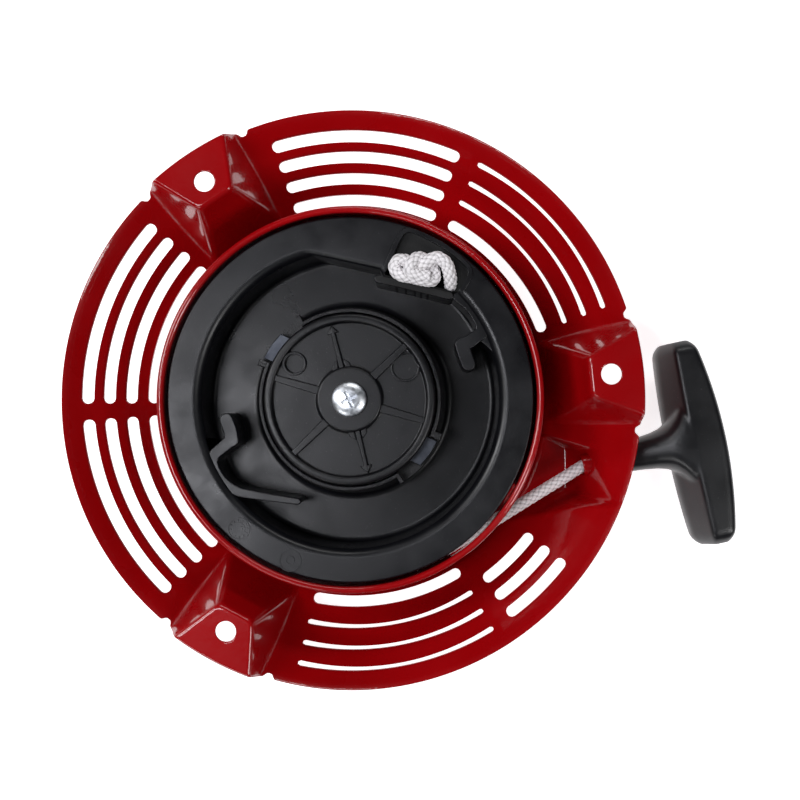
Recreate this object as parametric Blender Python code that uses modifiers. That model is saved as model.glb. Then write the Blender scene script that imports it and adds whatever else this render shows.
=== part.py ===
"""Recoil starter for a small horizontal-shaft engine.

Frame: metres, +Z up. The origin is the centre of the flat front face, which the starter stands on.
+Z runs along the reel's axis towards the engine, and +X lies 1.8 degrees clockwise of the first mounting pad.
Lengths below are in millimetres and are turned into metres where meshes are made.
"""
import math

import bmesh
import bpy
from mathutils import Matrix, Vector

MM = 0.001
COLLECTION = "recoil_starter"
CLEARANCE = 0.3                      # between pieces that touch on the real object
ROUND_STEPS = 64                     # facets of the large turned pieces
WOUND_STEPS = 48                     # facets of the wound rope

# Case
SHEET = 1.2                          # steel thickness
BOLT_CIRCLE = 89.8
BOLT_HOLE = 3.55
PAD_ANGLES = (1.8, 120.0, 238.2)     # the bolt pattern is symmetric about the second pad
PAD_TOP = 46.0                       # height of the mounting plane
PAD_INNER = (82.4, 6.7)              # distance from the axis and half width of the pad's inner edge
PAD_OUTER = (100.4, 15.1)            # the same at its outer edge
PAD_FRONT_SLOPE = 2.95               # rise over run of the pad's inner wall
PAD_SIDE_SLOPE = 3.0
RIM_RADIUS = 100.9
RIM_TOP = 38.0
WALL_PROFILE = ((66.9, 1.2), (68.4, 5.0), (70.4, 9.2), (77.5, 14.9), (85.0, 21.4), (92.0, 28.2),
                (98.4, 35.4), (RIM_RADIUS, RIM_TOP))
SLOT_ROWS = (95.2, 88.9, 82.2, 75.2)  # outer radius of each row of vent slots
SLOT_WIDTH = 3.6
LOUVRE_GAP = 1.7                     # what a louvred slot leaves open
PLAIN_GROUPS = ((62.3, 103.8, 4), (134.8, 177.1, 4), (180.6, 222.6, 4), (302.3, 319.3, 3))
LOUVRED_GROUPS = ((16.3, 58.1), (254.8, 298.1))

# Rope outlet pocket in the case wall
OUTLET_FLOOR = 8.0
OUTLET_FLOOR_PLAN = ((46.0, -34.0), (56.0, -16.0), (68.0, -17.0), (77.6, -22.5), (76.8, -38.0), (57.5, -45.0))
OUTLET_TOP = 38.0
OUTLET_TOP_PLAN = ((46.0, -34.0), (56.0, -16.0), (76.0, -17.0), (91.2, -20.5), (90.4, -43.0), (60.0, -53.0))
OUTLET = (82.0, -28.7, 18.5)         # centre of the rope hole
OUTLET_RADIUS = 3.9

# Inner cup
CUP_INNER = 64.5
CUP_TOP = 43.0
CUP_WINDOW = (-61.0, -31.0, 26.0, 37.0)   # angles and heights of the rope's window

# Post and screw
POST_RADIUS = 6.5
POST_TOP = 37.0
POST_BORE = 3.3
SCREW_RADIUS = 3.0
SCREW_HEAD = 5.95

# Reel
REEL_RADIUS = 63.2
REEL_TOP = 41.5
GROOVE_RADIUS = 54.5
GROOVE_BOTTOM = 18.3
GROOVE_TOP = 38.6
RECESS_FLOOR = 18.0
RECESS_RADIUS = 51.5
HUB_RADIUS = 33.4
HUB_INNER = 29.9
HUB_TOP = 43.0
HUB_TOP_RADIUS = 31.4
HUB_FLOOR = 34.0
CHAMBER_RADIUS = 50.0
CHAMBER_TOP = 15.0
REEL_BORE = 6.9
RIB_HALF_WIDTH = 1.6
RIB_TOP = 40.3
KNOT_WALL_PLAN = ((8.0, 43.9), (35.2, 34.4), (41.0, 30.9), (45.1, 25.3), (46.8, 20.7), (49.5, 17.4))
KNOT_WALL_BACK = (53.3, 19.5, 96.0)  # radius and angles of the back of the knot's wall
KNOT_POCKET_PLAN = ((12.6, 46.2), (16.2, 49.6), (28.0, 43.9), (37.2, 36.4), (35.0, 37.0))

# Pawls
PAWL_PIVOT = (22.0, 100.0)           # radius and angle of the first pawl's pivot
PAWL_PIN = 2.4
PAWL_BOTTOM = 34.4
PAWL_THICKNESS = 5.2
PAWL_TIP_ANGLE = 150.8
WINDOW_ANGLES = (119.5, 152.0)

# Guide
GUIDE_RADIUS = 29.5
GUIDE_BOTTOM = 43.2
GUIDE_TOP = 47.2
GUIDE_SPOKES = 6
SPOKE_PHASE = 40.3

# Rope
ROPE_RADIUS = 2.2
ROPE_TURNS = 4
LANE_PITCH = 4.75
FIRST_LANE = 21.0                    # height of the lowest turn
LEAD_HEIGHT = 33.6                   # height at which the rope leaves the reel
PULL_ANGLE = 8.0                     # direction of the handle's stem, from +X

# Handle, measured along the pull direction from the outlet
STEM_START = 6.8
STEM_TIP_RADIUS = 5.2
GRIP_INNER = 33.0
GRIP_OUTER = 47.0
GRIP_BOW = 4.3
GRIP_HALF_LENGTH = 36.6
GRIP_DEPTH = 22.0
KNOT_SEAT = 38.5
KNOT_POCKET_RADIUS = 6.2


# ---------------------------------------------------------------- scene and helpers

def start_scene():
    for obj in list(bpy.data.objects):
        bpy.data.objects.remove(obj, do_unlink=True)
    for name in (COLLECTION, COLLECTION + "_cutters"):
        bpy.context.scene.collection.children.link(bpy.data.collections.new(name))


def material(name, colour, roughness, metallic=0.0):
    mat = bpy.data.materials.new(name)
    mat.use_nodes = True
    shader = mat.node_tree.nodes["Principled BSDF"]
    shader.inputs["Base Color"].default_value = (*colour, 1.0)
    shader.inputs["Roughness"].default_value = roughness
    shader.inputs["Metallic"].default_value = metallic
    return mat


def link(obj, cutter=False):
    suffix = "_cutters" if cutter else ""
    bpy.data.collections[COLLECTION + suffix].objects.link(obj)
    if cutter:
        obj.hide_render = True
        obj.display_type = "WIRE"
    return obj


def finish(obj, mat, angle=35.0):
    """Give a part its material, and smooth shading with sharp edges above an angle."""
    obj.data.materials.clear()
    obj.data.materials.append(mat)
    obj.data.shade_smooth()
    obj.data.set_sharp_from_angle(angle=math.radians(angle))
    return obj


def to_mesh(obj):
    """Replace a curve or a modified object by the welded mesh that it evaluates to, with no link yet."""
    depsgraph = bpy.context.evaluated_depsgraph_get()
    depsgraph.update()
    mesh = bpy.data.meshes.new_from_object(obj.evaluated_get(depsgraph))
    bm = bmesh.new()
    bm.from_mesh(mesh)
    bmesh.ops.transform(bm, matrix=obj.matrix_world, verts=bm.verts)
    bmesh.ops.remove_doubles(bm, verts=bm.verts, dist=0.00001)
    bmesh.ops.recalc_face_normals(bm, faces=bm.faces)
    bm.to_mesh(mesh)
    bm.free()
    name = obj.name
    bpy.data.objects.remove(obj, do_unlink=True)
    mesh.name = name
    return bpy.data.objects.new(name, mesh)


def turned(name, profile, segments=64, cutter=False):
    """Solid of revolution about Z. The closed profile of (radius, height) runs down its outer side."""
    mesh = bpy.data.meshes.new(name)
    points = [(r * MM, 0.0, z * MM) for r, z in profile]
    edges = [(i, (i + 1) % len(points)) for i in range(len(points))]
    mesh.from_pydata(points, edges, [])
    obj = link(bpy.data.objects.new(name, mesh), cutter)
    screw = obj.modifiers.new("Turn", "SCREW")
    screw.steps = segments
    screw.render_steps = segments
    screw.use_merge_vertices = True
    screw.merge_threshold = 0.00001
    return obj


def prism(name, outlines, low, high, cutter=False):
    """Flat outlines in millimetres, extruded between two heights."""
    curve = bpy.data.curves.new(name, "CURVE")
    curve.dimensions = "2D"
    curve.fill_mode = "BOTH"
    curve.extrude = (high - low) * MM / 2
    for outline in outlines:
        spline = curve.splines.new("POLY")
        spline.points.add(len(outline) - 1)
        for point, (x, y) in zip(spline.points, outline):
            point.co = (x * MM, y * MM, 0.0, 1.0)
        spline.use_cyclic_u = True
    obj = bpy.data.objects.new(name, curve)
    obj.location.z = (low + high) * MM / 2
    bpy.context.scene.collection.objects.link(obj)
    return link(to_mesh(obj), cutter)


def tube(name, points, radius, cutter=False):
    """Round wire or rope through points in millimetres."""
    curve = bpy.data.curves.new(name, "CURVE")
    curve.dimensions = "3D"
    curve.bevel_depth = radius * MM
    curve.bevel_resolution = 2
    curve.use_fill_caps = True
    spline = curve.splines.new("POLY")
    spline.points.add(len(points) - 1)
    for target, point in zip(spline.points, points):
        target.co = (*(Vector(point) * MM), 1.0)
    obj = bpy.data.objects.new(name, curve)
    bpy.context.scene.collection.objects.link(obj)
    return link(to_mesh(obj), cutter)


def hull(name, points, cutter=True):
    """Convex solid through points in millimetres."""
    bm = bmesh.new()
    for point in points:
        bm.verts.new(Vector(point) * MM)
    result = bmesh.ops.convex_hull(bm, input=bm.verts)
    loose = [e for e in result["geom_interior"] if isinstance(e, bmesh.types.BMVert)]
    bmesh.ops.delete(bm, geom=loose, context="VERTS")
    bmesh.ops.recalc_face_normals(bm, faces=bm.faces)
    mesh = bpy.data.meshes.new(name)
    bm.to_mesh(mesh)
    bm.free()
    return link(bpy.data.objects.new(name, mesh), cutter)


def cylinder(name, radius, low, high, place=(0.0, 0.0), segments=24, cutter=True):
    bm = bmesh.new()
    centre = Matrix.Translation((place[0] * MM, place[1] * MM, (low + high) * MM / 2))
    bmesh.ops.create_cone(bm, cap_ends=True, segments=segments, radius1=radius * MM, radius2=radius * MM,
                          depth=(high - low) * MM, matrix=centre)
    mesh = bpy.data.meshes.new(name)
    bm.to_mesh(mesh)
    bm.free()
    return link(bpy.data.objects.new(name, mesh), cutter)


def boolean(obj, other, operation="DIFFERENCE"):
    modifier = obj.modifiers.new(other.name, "BOOLEAN")
    modifier.operation = operation
    modifier.solver = "EXACT"
    modifier.object = other


def polar(radius, degrees):
    angle = math.radians(degrees)
    return (radius * math.cos(angle), radius * math.sin(angle))


def turn_plan(points, degrees):
    c, s = math.cos(math.radians(degrees)), math.sin(math.radians(degrees))
    return [(x * c - y * s, x * s + y * c) for x, y in points]


def arc(radius, start, end, steps):
    return [polar(radius, start + (end - start) * i / steps) for i in range(steps + 1)]


def offset_plan(points, distance):
    """Move every side of a convex outline outwards, whichever way it runs."""
    area = sum(a[0] * b[1] - b[0] * a[1] for a, b in zip(points, points[1:] + points[:1]))
    sign = 1.0 if area > 0 else -1.0
    moved = []
    for i, point in enumerate(points):
        before, after = Vector(points[i - 1]), Vector(points[(i + 1) % len(points)])
        here = Vector(point)
        d1, d2 = (here - before).normalized(), (after - here).normalized()
        n1 = Vector((d1.y, -d1.x)) * sign
        n2 = Vector((d2.y, -d2.x)) * sign
        mitre = (n1 + n2).normalized()
        moved.append(tuple(here + mitre * distance / mitre.dot(n1)))
    return moved


def ribbon_plan(points, half_width):
    """Outline of a rib that follows a polyline, with blunt ends."""
    left, right = [], []
    for i, point in enumerate(points):
        ahead = Vector(points[min(i + 1, len(points) - 1)])
        behind = Vector(points[max(i - 1, 0)])
        direction = (ahead - behind).normalized()
        normal = Vector((-direction.y, direction.x)) * half_width
        left.append(tuple(Vector(point) + normal))
        right.append(tuple(Vector(point) - normal))
    return left + right[::-1]


def smooth_path(points, samples):
    """Catmull-Rom curve through points, evenly sampled."""
    pts = [Vector(p) for p in points]
    pts = [pts[0] * 2 - pts[1]] + pts + [pts[-1] * 2 - pts[-2]]
    path = []
    spans = len(pts) - 3
    for i in range(spans):
        p0, p1, p2, p3 = pts[i:i + 4]
        count = samples // spans
        for k in range(count):
            t = k / count
            path.append(0.5 * (2 * p1 + (p2 - p0) * t + (2 * p0 - 5 * p1 + 4 * p2 - p3) * t * t
                               + (3 * p1 - p0 - 3 * p2 + p3) * t ** 3))
    path.append(pts[-2])
    return path


# ---------------------------------------------------------------- case

def wall_offset(profile, distance):
    """The wall's other face: the profile moved along its normal, outwards and down."""
    moved = []
    for i, point in enumerate(profile):
        ahead = Vector(profile[min(i + 1, len(profile) - 1)])
        behind = Vector(profile[max(i - 1, 0)])
        along = (ahead - behind).normalized()
        moved.append((point[0] + along.y * distance, point[1] - along.x * distance))
    moved[0] = (moved[0][0], 0.0)
    return moved


def pad_points(inset, bottom, reach):
    """Corners of a mounting pad's solid on +X, its walls moved in by inset, down to the height bottom."""
    top = PAD_TOP - inset
    (u1, v1), (u2, v2) = PAD_INNER, PAD_OUTER
    side_length = math.hypot(u2 - u1, v2 - v1)
    normal = (-(v2 - v1) / side_length, (u2 - u1) / side_length)
    points = []
    for height in (top, bottom):
        drop = top - height
        front = u1 + inset * 0.75 - drop / PAD_FRONT_SLOPE
        spread = drop / PAD_SIDE_SLOPE - inset * 0.75
        for u in (front, reach):
            v = v1 + (spread - normal[0] * (u - u1)) / normal[1]
            points += [(u, v, height), (u, -v, height)]
        points.append((reach + 1.0, 0.0, height))
    return points


def turn_points(points, degrees):
    return [(*turn_plan([(x, y)], degrees)[0], z) for x, y, z in points]


def slot_outline(outer, width, start, end):
    """A slot along a circle with round ends."""
    middle = outer - width / 2
    cap = math.degrees(width / 2 / middle)
    steps = max(2, round((end - start) / 8.0))
    outline = arc(outer, start + cap, end - cap, steps)
    for turned_by in (-60.0, 0.0, 60.0):
        x, y = polar(middle, end - cap)
        dx, dy = polar(width / 2, end - cap + 90.0 + turned_by)
        outline.append((x + dx, y + dy))
    outline += arc(outer - width, end - cap, start + cap, steps)
    for turned_by in (-60.0, 0.0, 60.0):
        x, y = polar(middle, start + cap)
        dx, dy = polar(width / 2, start + cap - 90.0 + turned_by)
        outline.append((x + dx, y + dy))
    return outline


def build_case(mat):
    inner_wall = list(WALL_PROFILE)
    outer_wall = wall_offset(inner_wall, SHEET)
    profile = [(0.0, SHEET)] + inner_wall + outer_wall[::-1] + [(0.0, 0.0)]
    case = turned("case_shell", profile, ROUND_STEPS)

    middle = wall_offset(inner_wall, SHEET / 2)[1:]
    inside = turned("inside_of_wall", [(40.0, 62.0), (103.0, 62.0), (103.0, middle[-1][1] + 0.5)]
                    + middle[::-1] + [(66.0, SHEET / 2), (40.0, SHEET / 2)], ROUND_STEPS, cutter=True)
    outside = turned("outside_of_wall", [(115.0, middle[-1][1] + 0.5), (115.0, -8.0), (68.0, -8.0)]
                     + middle, ROUND_STEPS, cutter=True)

    floor, top = list(OUTLET_FLOOR_PLAN), list(OUTLET_TOP_PLAN)
    box_in = hull("outlet_inside", [(*p, OUTLET_FLOOR) for p in floor] + [(*p, OUTLET_TOP) for p in top])
    box_out = hull("outlet_outside",
                   [(*p, OUTLET_FLOOR - SHEET) for p in offset_plan(floor, SHEET * 0.9)]
                   + [(*p, OUTLET_TOP) for p in offset_plan(top, SHEET * 1.1)])
    boolean(box_out, inside)
    boolean(case, box_out, "UNION")
    boolean(case, box_in)

    for number, angle in enumerate(PAD_ANGLES, 1):
        solid = hull(f"pad_outside_{number}", turn_points(pad_points(0.0, 3.4, PAD_OUTER[0] - 1.0), angle))
        space = hull(f"pad_inside_{number}", turn_points(pad_points(SHEET, 3.0, PAD_OUTER[0] + 6.0), angle))
        boolean(solid, outside)
        boolean(case, solid, "UNION")
        boolean(case, space)
        hole = cylinder(f"bolt_hole_{number}", BOLT_HOLE, PAD_TOP - 6.0, PAD_TOP + 6.0,
                        polar(BOLT_CIRCLE, angle), 24)
        boolean(case, hole)

    slots = []
    for start, end, rows in PLAIN_GROUPS:
        slots += [slot_outline(outer, SLOT_WIDTH, start, end) for outer in SLOT_ROWS[:rows]]
    for start, end in LOUVRED_GROUPS:
        slots += [slot_outline(outer, LOUVRE_GAP, start, end) for outer in SLOT_ROWS[:3]]
        slots.append(slot_outline(SLOT_ROWS[3], SLOT_WIDTH, start, end))
    boolean(case, prism("vent_slots", slots, 4.0, 50.0, cutter=True))

    x, y, z = OUTLET
    dx, dy = polar(1.0, PULL_ANGLE)
    ends = [(x - dx * 12, y - dy * 12, z), (x + dx * 12, y + dy * 12, z)]
    boolean(case, tube("outlet_hole", ends, OUTLET_RADIUS, cutter=True))
    return finish(case, mat)


def build_cup(mat):
    inner, outer = CUP_INNER, CUP_INNER + SHEET
    floor = SHEET + CLEARANCE
    profile = [(inner, CUP_TOP - 0.6), (inner + 0.4, CUP_TOP + 0.6), (outer + 0.5, CUP_TOP + 0.8),
               (outer + 1.0, CUP_TOP - 0.2), (outer + 0.6, CUP_TOP - 1.6), (outer, CUP_TOP - 1.8),
               (outer, floor + 1.0), (outer - 1.0, floor), (4.2, floor), (4.2, floor + SHEET),
               (inner - 1.0, floor + SHEET), (inner, floor + SHEET + 1.0)]
    cup = turned("inner_cup", profile, ROUND_STEPS)
    start, end, low, high = CUP_WINDOW
    window = arc(CUP_INNER + 6.0, start, end, 6) + arc(CUP_INNER - 6.0, end, start, 6)
    boolean(cup, prism("rope_window", [window], low, high, cutter=True))
    return finish(cup, mat)


def build_post(mat):
    base = SHEET + CLEARANCE
    flange = base + SHEET + CLEARANCE
    profile = [(POST_BORE, POST_TOP), (POST_RADIUS, POST_TOP), (POST_RADIUS, flange + 1.6),
               (11.0, flange + 1.6), (11.0, flange), (3.8, flange), (3.8, base + 0.1), (0.0, base + 0.1),
               (0.0, 13.5), (POST_BORE, 13.5)]
    post = turned("centre_post", profile, 32)
    hook = [(3.8, -0.9), (8.0, -0.9), (8.0, 0.9), (3.8, 0.9)]
    boolean(post, prism("spring_slot", [hook], flange + 1.9, 12.8, cutter=True))
    return finish(post, mat)


def build_screw(mat):
    seat = GUIDE_TOP + CLEARANCE
    profile = [(0.0, seat + 3.0), (3.4, seat + 2.9), (5.2, seat + 2.0), (SCREW_HEAD, seat + 0.8),
               (SCREW_HEAD, seat), (SCREW_RADIUS, seat), (SCREW_RADIUS, 15.0), (SCREW_RADIUS - 0.8, 14.2),
               (0.0, 14.2)]
    screw = turned("setting_screw", profile, 32)
    cross = [[(-2.6, -0.5), (2.6, -0.5), (2.6, 0.5), (-2.6, 0.5)]]
    boolean(screw, prism("cross_recess_x", cross, seat + 1.2, seat + 5.0, cutter=True))
    cross = [[(-0.5, -2.6), (0.5, -2.6), (0.5, 2.6), (-0.5, 2.6)]]
    boolean(screw, prism("cross_recess_y", cross, seat + 1.2, seat + 5.0, cutter=True))
    return finish(screw, mat)


def build_recoil_spring(mat):
    """Flat spiral spring: its inner end bends into the post's slot."""
    turns, start, end = 9.0, POST_RADIUS + 1.3, CHAMBER_RADIUS - 1.3
    steps = 126
    plan = [(4.6, 0.0), (5.8, 0.0)]
    for i in range(steps + 1):
        share = i / steps
        radius = start + (end - start) * share
        plan.append(polar(radius, 3.0 + 360.0 * turns * share))
    curve = bpy.data.curves.new("recoil_spring", "CURVE")
    curve.dimensions = "3D"
    curve.extrude = 3.6 * MM
    spline = curve.splines.new("POLY")
    spline.points.add(len(plan) - 1)
    for target, (x, y) in zip(spline.points, plan):
        target.co = (x * MM, y * MM, 0.0, 1.0)
    obj = bpy.data.objects.new("recoil_spring", curve)
    obj.location.z = 9.0 * MM
    bpy.context.scene.collection.objects.link(obj)
    spring = link(to_mesh(obj))
    solid = spring.modifiers.new("Strip", "SOLIDIFY")
    solid.thickness = 0.7 * MM
    solid.offset = 0.0
    return finish(spring, mat)


# ---------------------------------------------------------------- reel and rope

def rib_paths():
    """Centre lines of one hooked rib: the tongue, the ridge to the wall and the arm."""
    tongue = [(-43.1, -3.0), (-41.6, -9.6), (-42.6, -13.4), (-47.6, -16.2)]
    ridge = [(-47.0, -16.0), (-50.2, -13.0), (-52.2, -10.2)]
    bend = [(-47.6, -15.6), (-48.5, -18.9), (-47.0, -23.5), (-42.9, -28.1), (-37.8, -30.4), (-19.9, -33.6)]
    return tongue, ridge, bend


def build_reel(mat):
    profile = [(REEL_BORE, 36.0), (11.0, 36.0), (11.0, HUB_FLOOR), (HUB_INNER, HUB_FLOOR),
               (HUB_INNER, HUB_TOP), (HUB_TOP_RADIUS - 0.4, HUB_TOP), (HUB_TOP_RADIUS, HUB_TOP - 0.4),
               (HUB_RADIUS + 0.3, RECESS_FLOOR),
               (RECESS_RADIUS - 1.0, RECESS_FLOOR), (RECESS_RADIUS, REEL_TOP - 2.4),
               (RECESS_RADIUS + 0.9, REEL_TOP - 0.8), (RECESS_RADIUS + 2.4, REEL_TOP),
               (REEL_RADIUS - 0.4, REEL_TOP), (REEL_RADIUS, REEL_TOP - 0.4), (REEL_RADIUS, GROOVE_TOP),
               (GROOVE_RADIUS, GROOVE_TOP), (GROOVE_RADIUS, GROOVE_BOTTOM), (REEL_RADIUS, GROOVE_BOTTOM),
               (REEL_RADIUS, 15.8), (CHAMBER_RADIUS + 2.0, 15.8), (CHAMBER_RADIUS + 2.0, 4.0),
               (CHAMBER_RADIUS, 4.0), (CHAMBER_RADIUS, CHAMBER_TOP), (HUB_INNER + 0.6, CHAMBER_TOP),
               (HUB_INNER + 0.6, 31.4), (9.6, 31.4), (9.6, CHAMBER_TOP), (REEL_BORE, CHAMBER_TOP)]
    reel = turned("reel", profile, ROUND_STEPS)

    plan = list(KNOT_WALL_PLAN) + arc(*KNOT_WALL_BACK, 7)
    wall = prism("knot_wall", [plan], RECESS_FLOOR - 1.0, RIB_TOP, cutter=True)
    boolean(reel, wall, "UNION")
    for number in range(2):
        for kind, path in zip(("tongue", "ridge", "arm"), rib_paths()):
            if number == 1 and kind == "arm":
                continue
            plan = turn_plan(ribbon_plan(path, RIB_HALF_WIDTH), 180.0 * number)
            rib = prism(f"rib_{kind}_{number + 1}", [plan], RECESS_FLOOR - 1.0, RIB_TOP - 0.05 * number,
                        cutter=True)
            boolean(reel, rib, "UNION")

    boolean(reel, prism("knot_pocket", [KNOT_POCKET_PLAN], 29.0, 50.0, cutter=True))
    seat = arc(60.6, 45.0, 70.5, 6) + [polar(55.5, 71.0), polar(48.5, 72.0)] + arc(47.8, 70.0, 45.5, 5)
    seat += [polar(55.0, 43.5)]
    boolean(reel, prism("knot_seat", [seat], 39.4, 50.0, cutter=True))

    for number in range(2):
        start, end = (angle + 180.0 * number for angle in WINDOW_ANGLES)
        window = arc(HUB_RADIUS + 3.0, start, end, 5) + arc(HUB_INNER - 2.0, end, start, 5)
        boolean(reel, prism(f"pawl_window_{number + 1}", [window], HUB_FLOOR, HUB_TOP + 4.0, cutter=True))
        radius, angle = PAWL_PIVOT
        pin_top = PAWL_BOTTOM + PAWL_THICKNESS + 2.8
        pin = cylinder(f"pawl_pin_{number + 1}", PAWL_PIN, HUB_FLOOR - 1.0, pin_top,
                       polar(radius, angle + 180.0 * number), 20)
        boolean(reel, pin, "UNION")
    return finish(reel, mat)


def pawl_plan():
    """Outline of the first pawl: a round boss on its pivot and an arm that ends in the hub's window."""
    px, py = polar(*PAWL_PIVOT)
    boss = 4.9
    tip_out, tip_in = HUB_RADIUS - 0.1, HUB_INNER - 2.6
    outline = [polar(tip_out, PAWL_TIP_ANGLE), polar(tip_in, PAWL_TIP_ANGLE - 0.6)]
    outline += [polar(23.5, 140.0), polar(19.8, 128.0)]
    outline += [(px + boss * math.cos(math.radians(a)), py + boss * math.sin(math.radians(a)))
                for a in range(220, 461, 24)]
    outline += [polar(27.9, 112.0), polar(27.0, 122.0), polar(28.6, 130.0), polar(tip_out, 133.0),
                polar(tip_out, 142.0)]
    return outline


def build_pawls(mat):
    pawls = []
    top = PAWL_BOTTOM + PAWL_THICKNESS
    for number in range(2):
        turn = 180.0 * number
        px, py = polar(PAWL_PIVOT[0], PAWL_PIVOT[1] + turn)
        local = [(x - px, y - py) for x, y in turn_plan(pawl_plan(), turn)]
        pawl = prism(f"pawl_{number + 1}", [local], PAWL_BOTTOM, top)
        pawl.location = (px * MM, py * MM, 0.0)
        hole = cylinder(f"pawl_hole_{number + 1}", PAWL_PIN + CLEARANCE, PAWL_BOTTOM - 2.0, top + 2.0,
                        (px, py), 20)
        boolean(pawl, hole)
        pawls.append(finish(pawl, mat))
    return pawls


def build_pawl_springs(mat):
    """Torsion springs round the pawl pins, just above the pawls."""
    for number in range(2):
        turn = 180.0 * number
        px, py = polar(PAWL_PIVOT[0], PAWL_PIVOT[1] + turn)
        base = PAWL_BOTTOM + PAWL_THICKNESS + 0.65
        path = []
        leg = Vector(polar(7.5, 150.0 + turn))
        path.append((px + leg.x, py + leg.y, base))
        steps = 30
        for i in range(steps + 1):
            angle = 100.0 + turn + 720.0 * i / steps
            x, y = polar(PAWL_PIN + 1.0, angle)
            path.append((px + x, py + y, base + 1.5 * i / steps))
        leg = Vector(polar(6.0, 75.0 + turn))
        path.append((px + leg.x, py + leg.y, base + 1.5))
        finish(tube(f"pawl_spring_{number + 1}", path, 0.3), mat, 60.0)


def build_guide(mat):
    low, high = GUIDE_BOTTOM, GUIDE_TOP
    profile = [(SCREW_RADIUS + 0.35, high), (10.9, high), (11.4, high - 0.5), (11.6, low + 1.8),
               (26.3, low + 1.8), (26.6, high - 0.6), (28.6, high - 0.2), (GUIDE_RADIUS, high - 1.4),
               (GUIDE_RADIUS, low),
               (9.6, low), (9.6, 41.6), (SCREW_RADIUS + 0.35, 41.6)]
    guide = turned("ratchet_guide", profile, 48)
    for number in range(GUIDE_SPOKES):
        half = 0.9 if number % 3 == 1 else 1.3
        plan = [(10.5, -half), (27.0, -half), (27.0, half), (10.5, half)]
        spoke = prism(f"spoke_{number + 1}", [turn_plan(plan, SPOKE_PHASE + 60.0 * number)], low + 0.8,
                      high - 0.9, cutter=True)
        boolean(guide, spoke, "UNION")
    return finish(guide, mat)


def build_friction_spring(mat):
    """Wire spring clipped under the guide: two turns with a leg towards the pawls."""
    path = [(*polar(16.0, 60.0), 42.4)]
    steps = 28
    for i in range(steps + 1):
        path.append((*polar(REEL_BORE + 4.3, 70.0 + 540.0 * i / steps), 42.4 - 2.2 * i / steps))
    finish(tube("friction_spring", path, 0.45), mat, 60.0)


def tangent_angle():
    """Direction of the lead, which touches the circle of the wound rope and passes through the outlet."""
    x, y, _ = OUTLET
    return math.degrees(math.asin(lead_radius() / math.hypot(x, y)) + math.atan2(y, x))


def wound_radius():
    return GROOVE_RADIUS + 1.5 * CLEARANCE + ROPE_RADIUS


def lead_radius():
    return wound_radius() + 2 * ROPE_RADIUS + CLEARANCE


def wound_profile():
    """Outline of the turns side by side, each round at its outer and inner side, joined where they touch."""
    outer, inner = [], []
    for lane in reversed(range(ROPE_TURNS)):
        height = FIRST_LANE + LANE_PITCH * lane
        for angle in (67.5, 22.5, -22.5, -67.5):
            dr, dz = polar(ROPE_RADIUS, angle)
            outer.append((wound_radius() + dr, height + dz))
            inner.append((wound_radius() - dr, height + dz))
    return outer + inner[::-1]


def build_ropes(mat):
    """The rope's turns on the reel, its lead to the outlet, and the knot in the reel's pocket."""
    finish(turned("rope_wound", wound_profile(), WOUND_STEPS), mat, 60.0)

    foot = tangent_angle() - 90.0
    x, y, z = OUTLET
    fx, fy = polar(lead_radius(), foot)
    dx, dy = polar(1.0, tangent_angle())
    ox, oy = polar(1.0, PULL_ANGLE)
    lead = [(*polar(lead_radius(), foot - 16.0), LEAD_HEIGHT),
            (*polar(lead_radius(), foot - 8.0), LEAD_HEIGHT),
            (fx, fy, LEAD_HEIGHT), (fx + dx * 20, fy + dy * 20, 31.0), (x - dx * 20, y - dy * 20, 23.4),
            (x - dx * 8, y - dy * 8, 19.6), (x - ox * 0.5, y - oy * 0.5, z), (x + ox * 2.6, y + oy * 2.6, z)]
    finish(tube("rope_lead", smooth_path(lead, 28), ROPE_RADIUS), mat, 60.0)

    bm = bmesh.new()
    bmesh.ops.create_icosphere(bm, subdivisions=2, radius=MM)
    shape = Matrix.Translation((27.2 * MM, 43.6 * MM, 0.0)) @ Matrix.Rotation(math.radians(-32.0), 4, "Z")
    shape = Matrix.Translation((0.0, 0.0, 43.2 * MM)) @ shape @ Matrix.Diagonal((11.4, 6.6, 3.4, 1.0))
    bmesh.ops.transform(bm, matrix=shape, verts=bm.verts)
    mesh = bpy.data.meshes.new("reel_knot")
    bm.to_mesh(mesh)
    bm.free()
    finish(link(bpy.data.objects.new("reel_knot", mesh)), mat, 60.0)


# ---------------------------------------------------------------- handle

def along_pull(distance, side=0.0):
    """A point on the stem's axis, at a distance from the outlet, in plan."""
    ox, oy = polar(1.0, PULL_ANGLE)
    return (OUTLET[0] + ox * distance - oy * side, OUTLET[1] + oy * distance + ox * side)


def turned_on_pull(name, profile, segments, cutter):
    """Solid of revolution about the stem's axis: the profile holds (distance, radius)."""
    obj = turned(name, [(r, d) for d, r in profile], segments, cutter)
    obj.rotation_euler = (0.0, math.radians(90.0), math.radians(PULL_ANGLE))
    obj.location = Vector(OUTLET) * MM
    return obj


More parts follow.
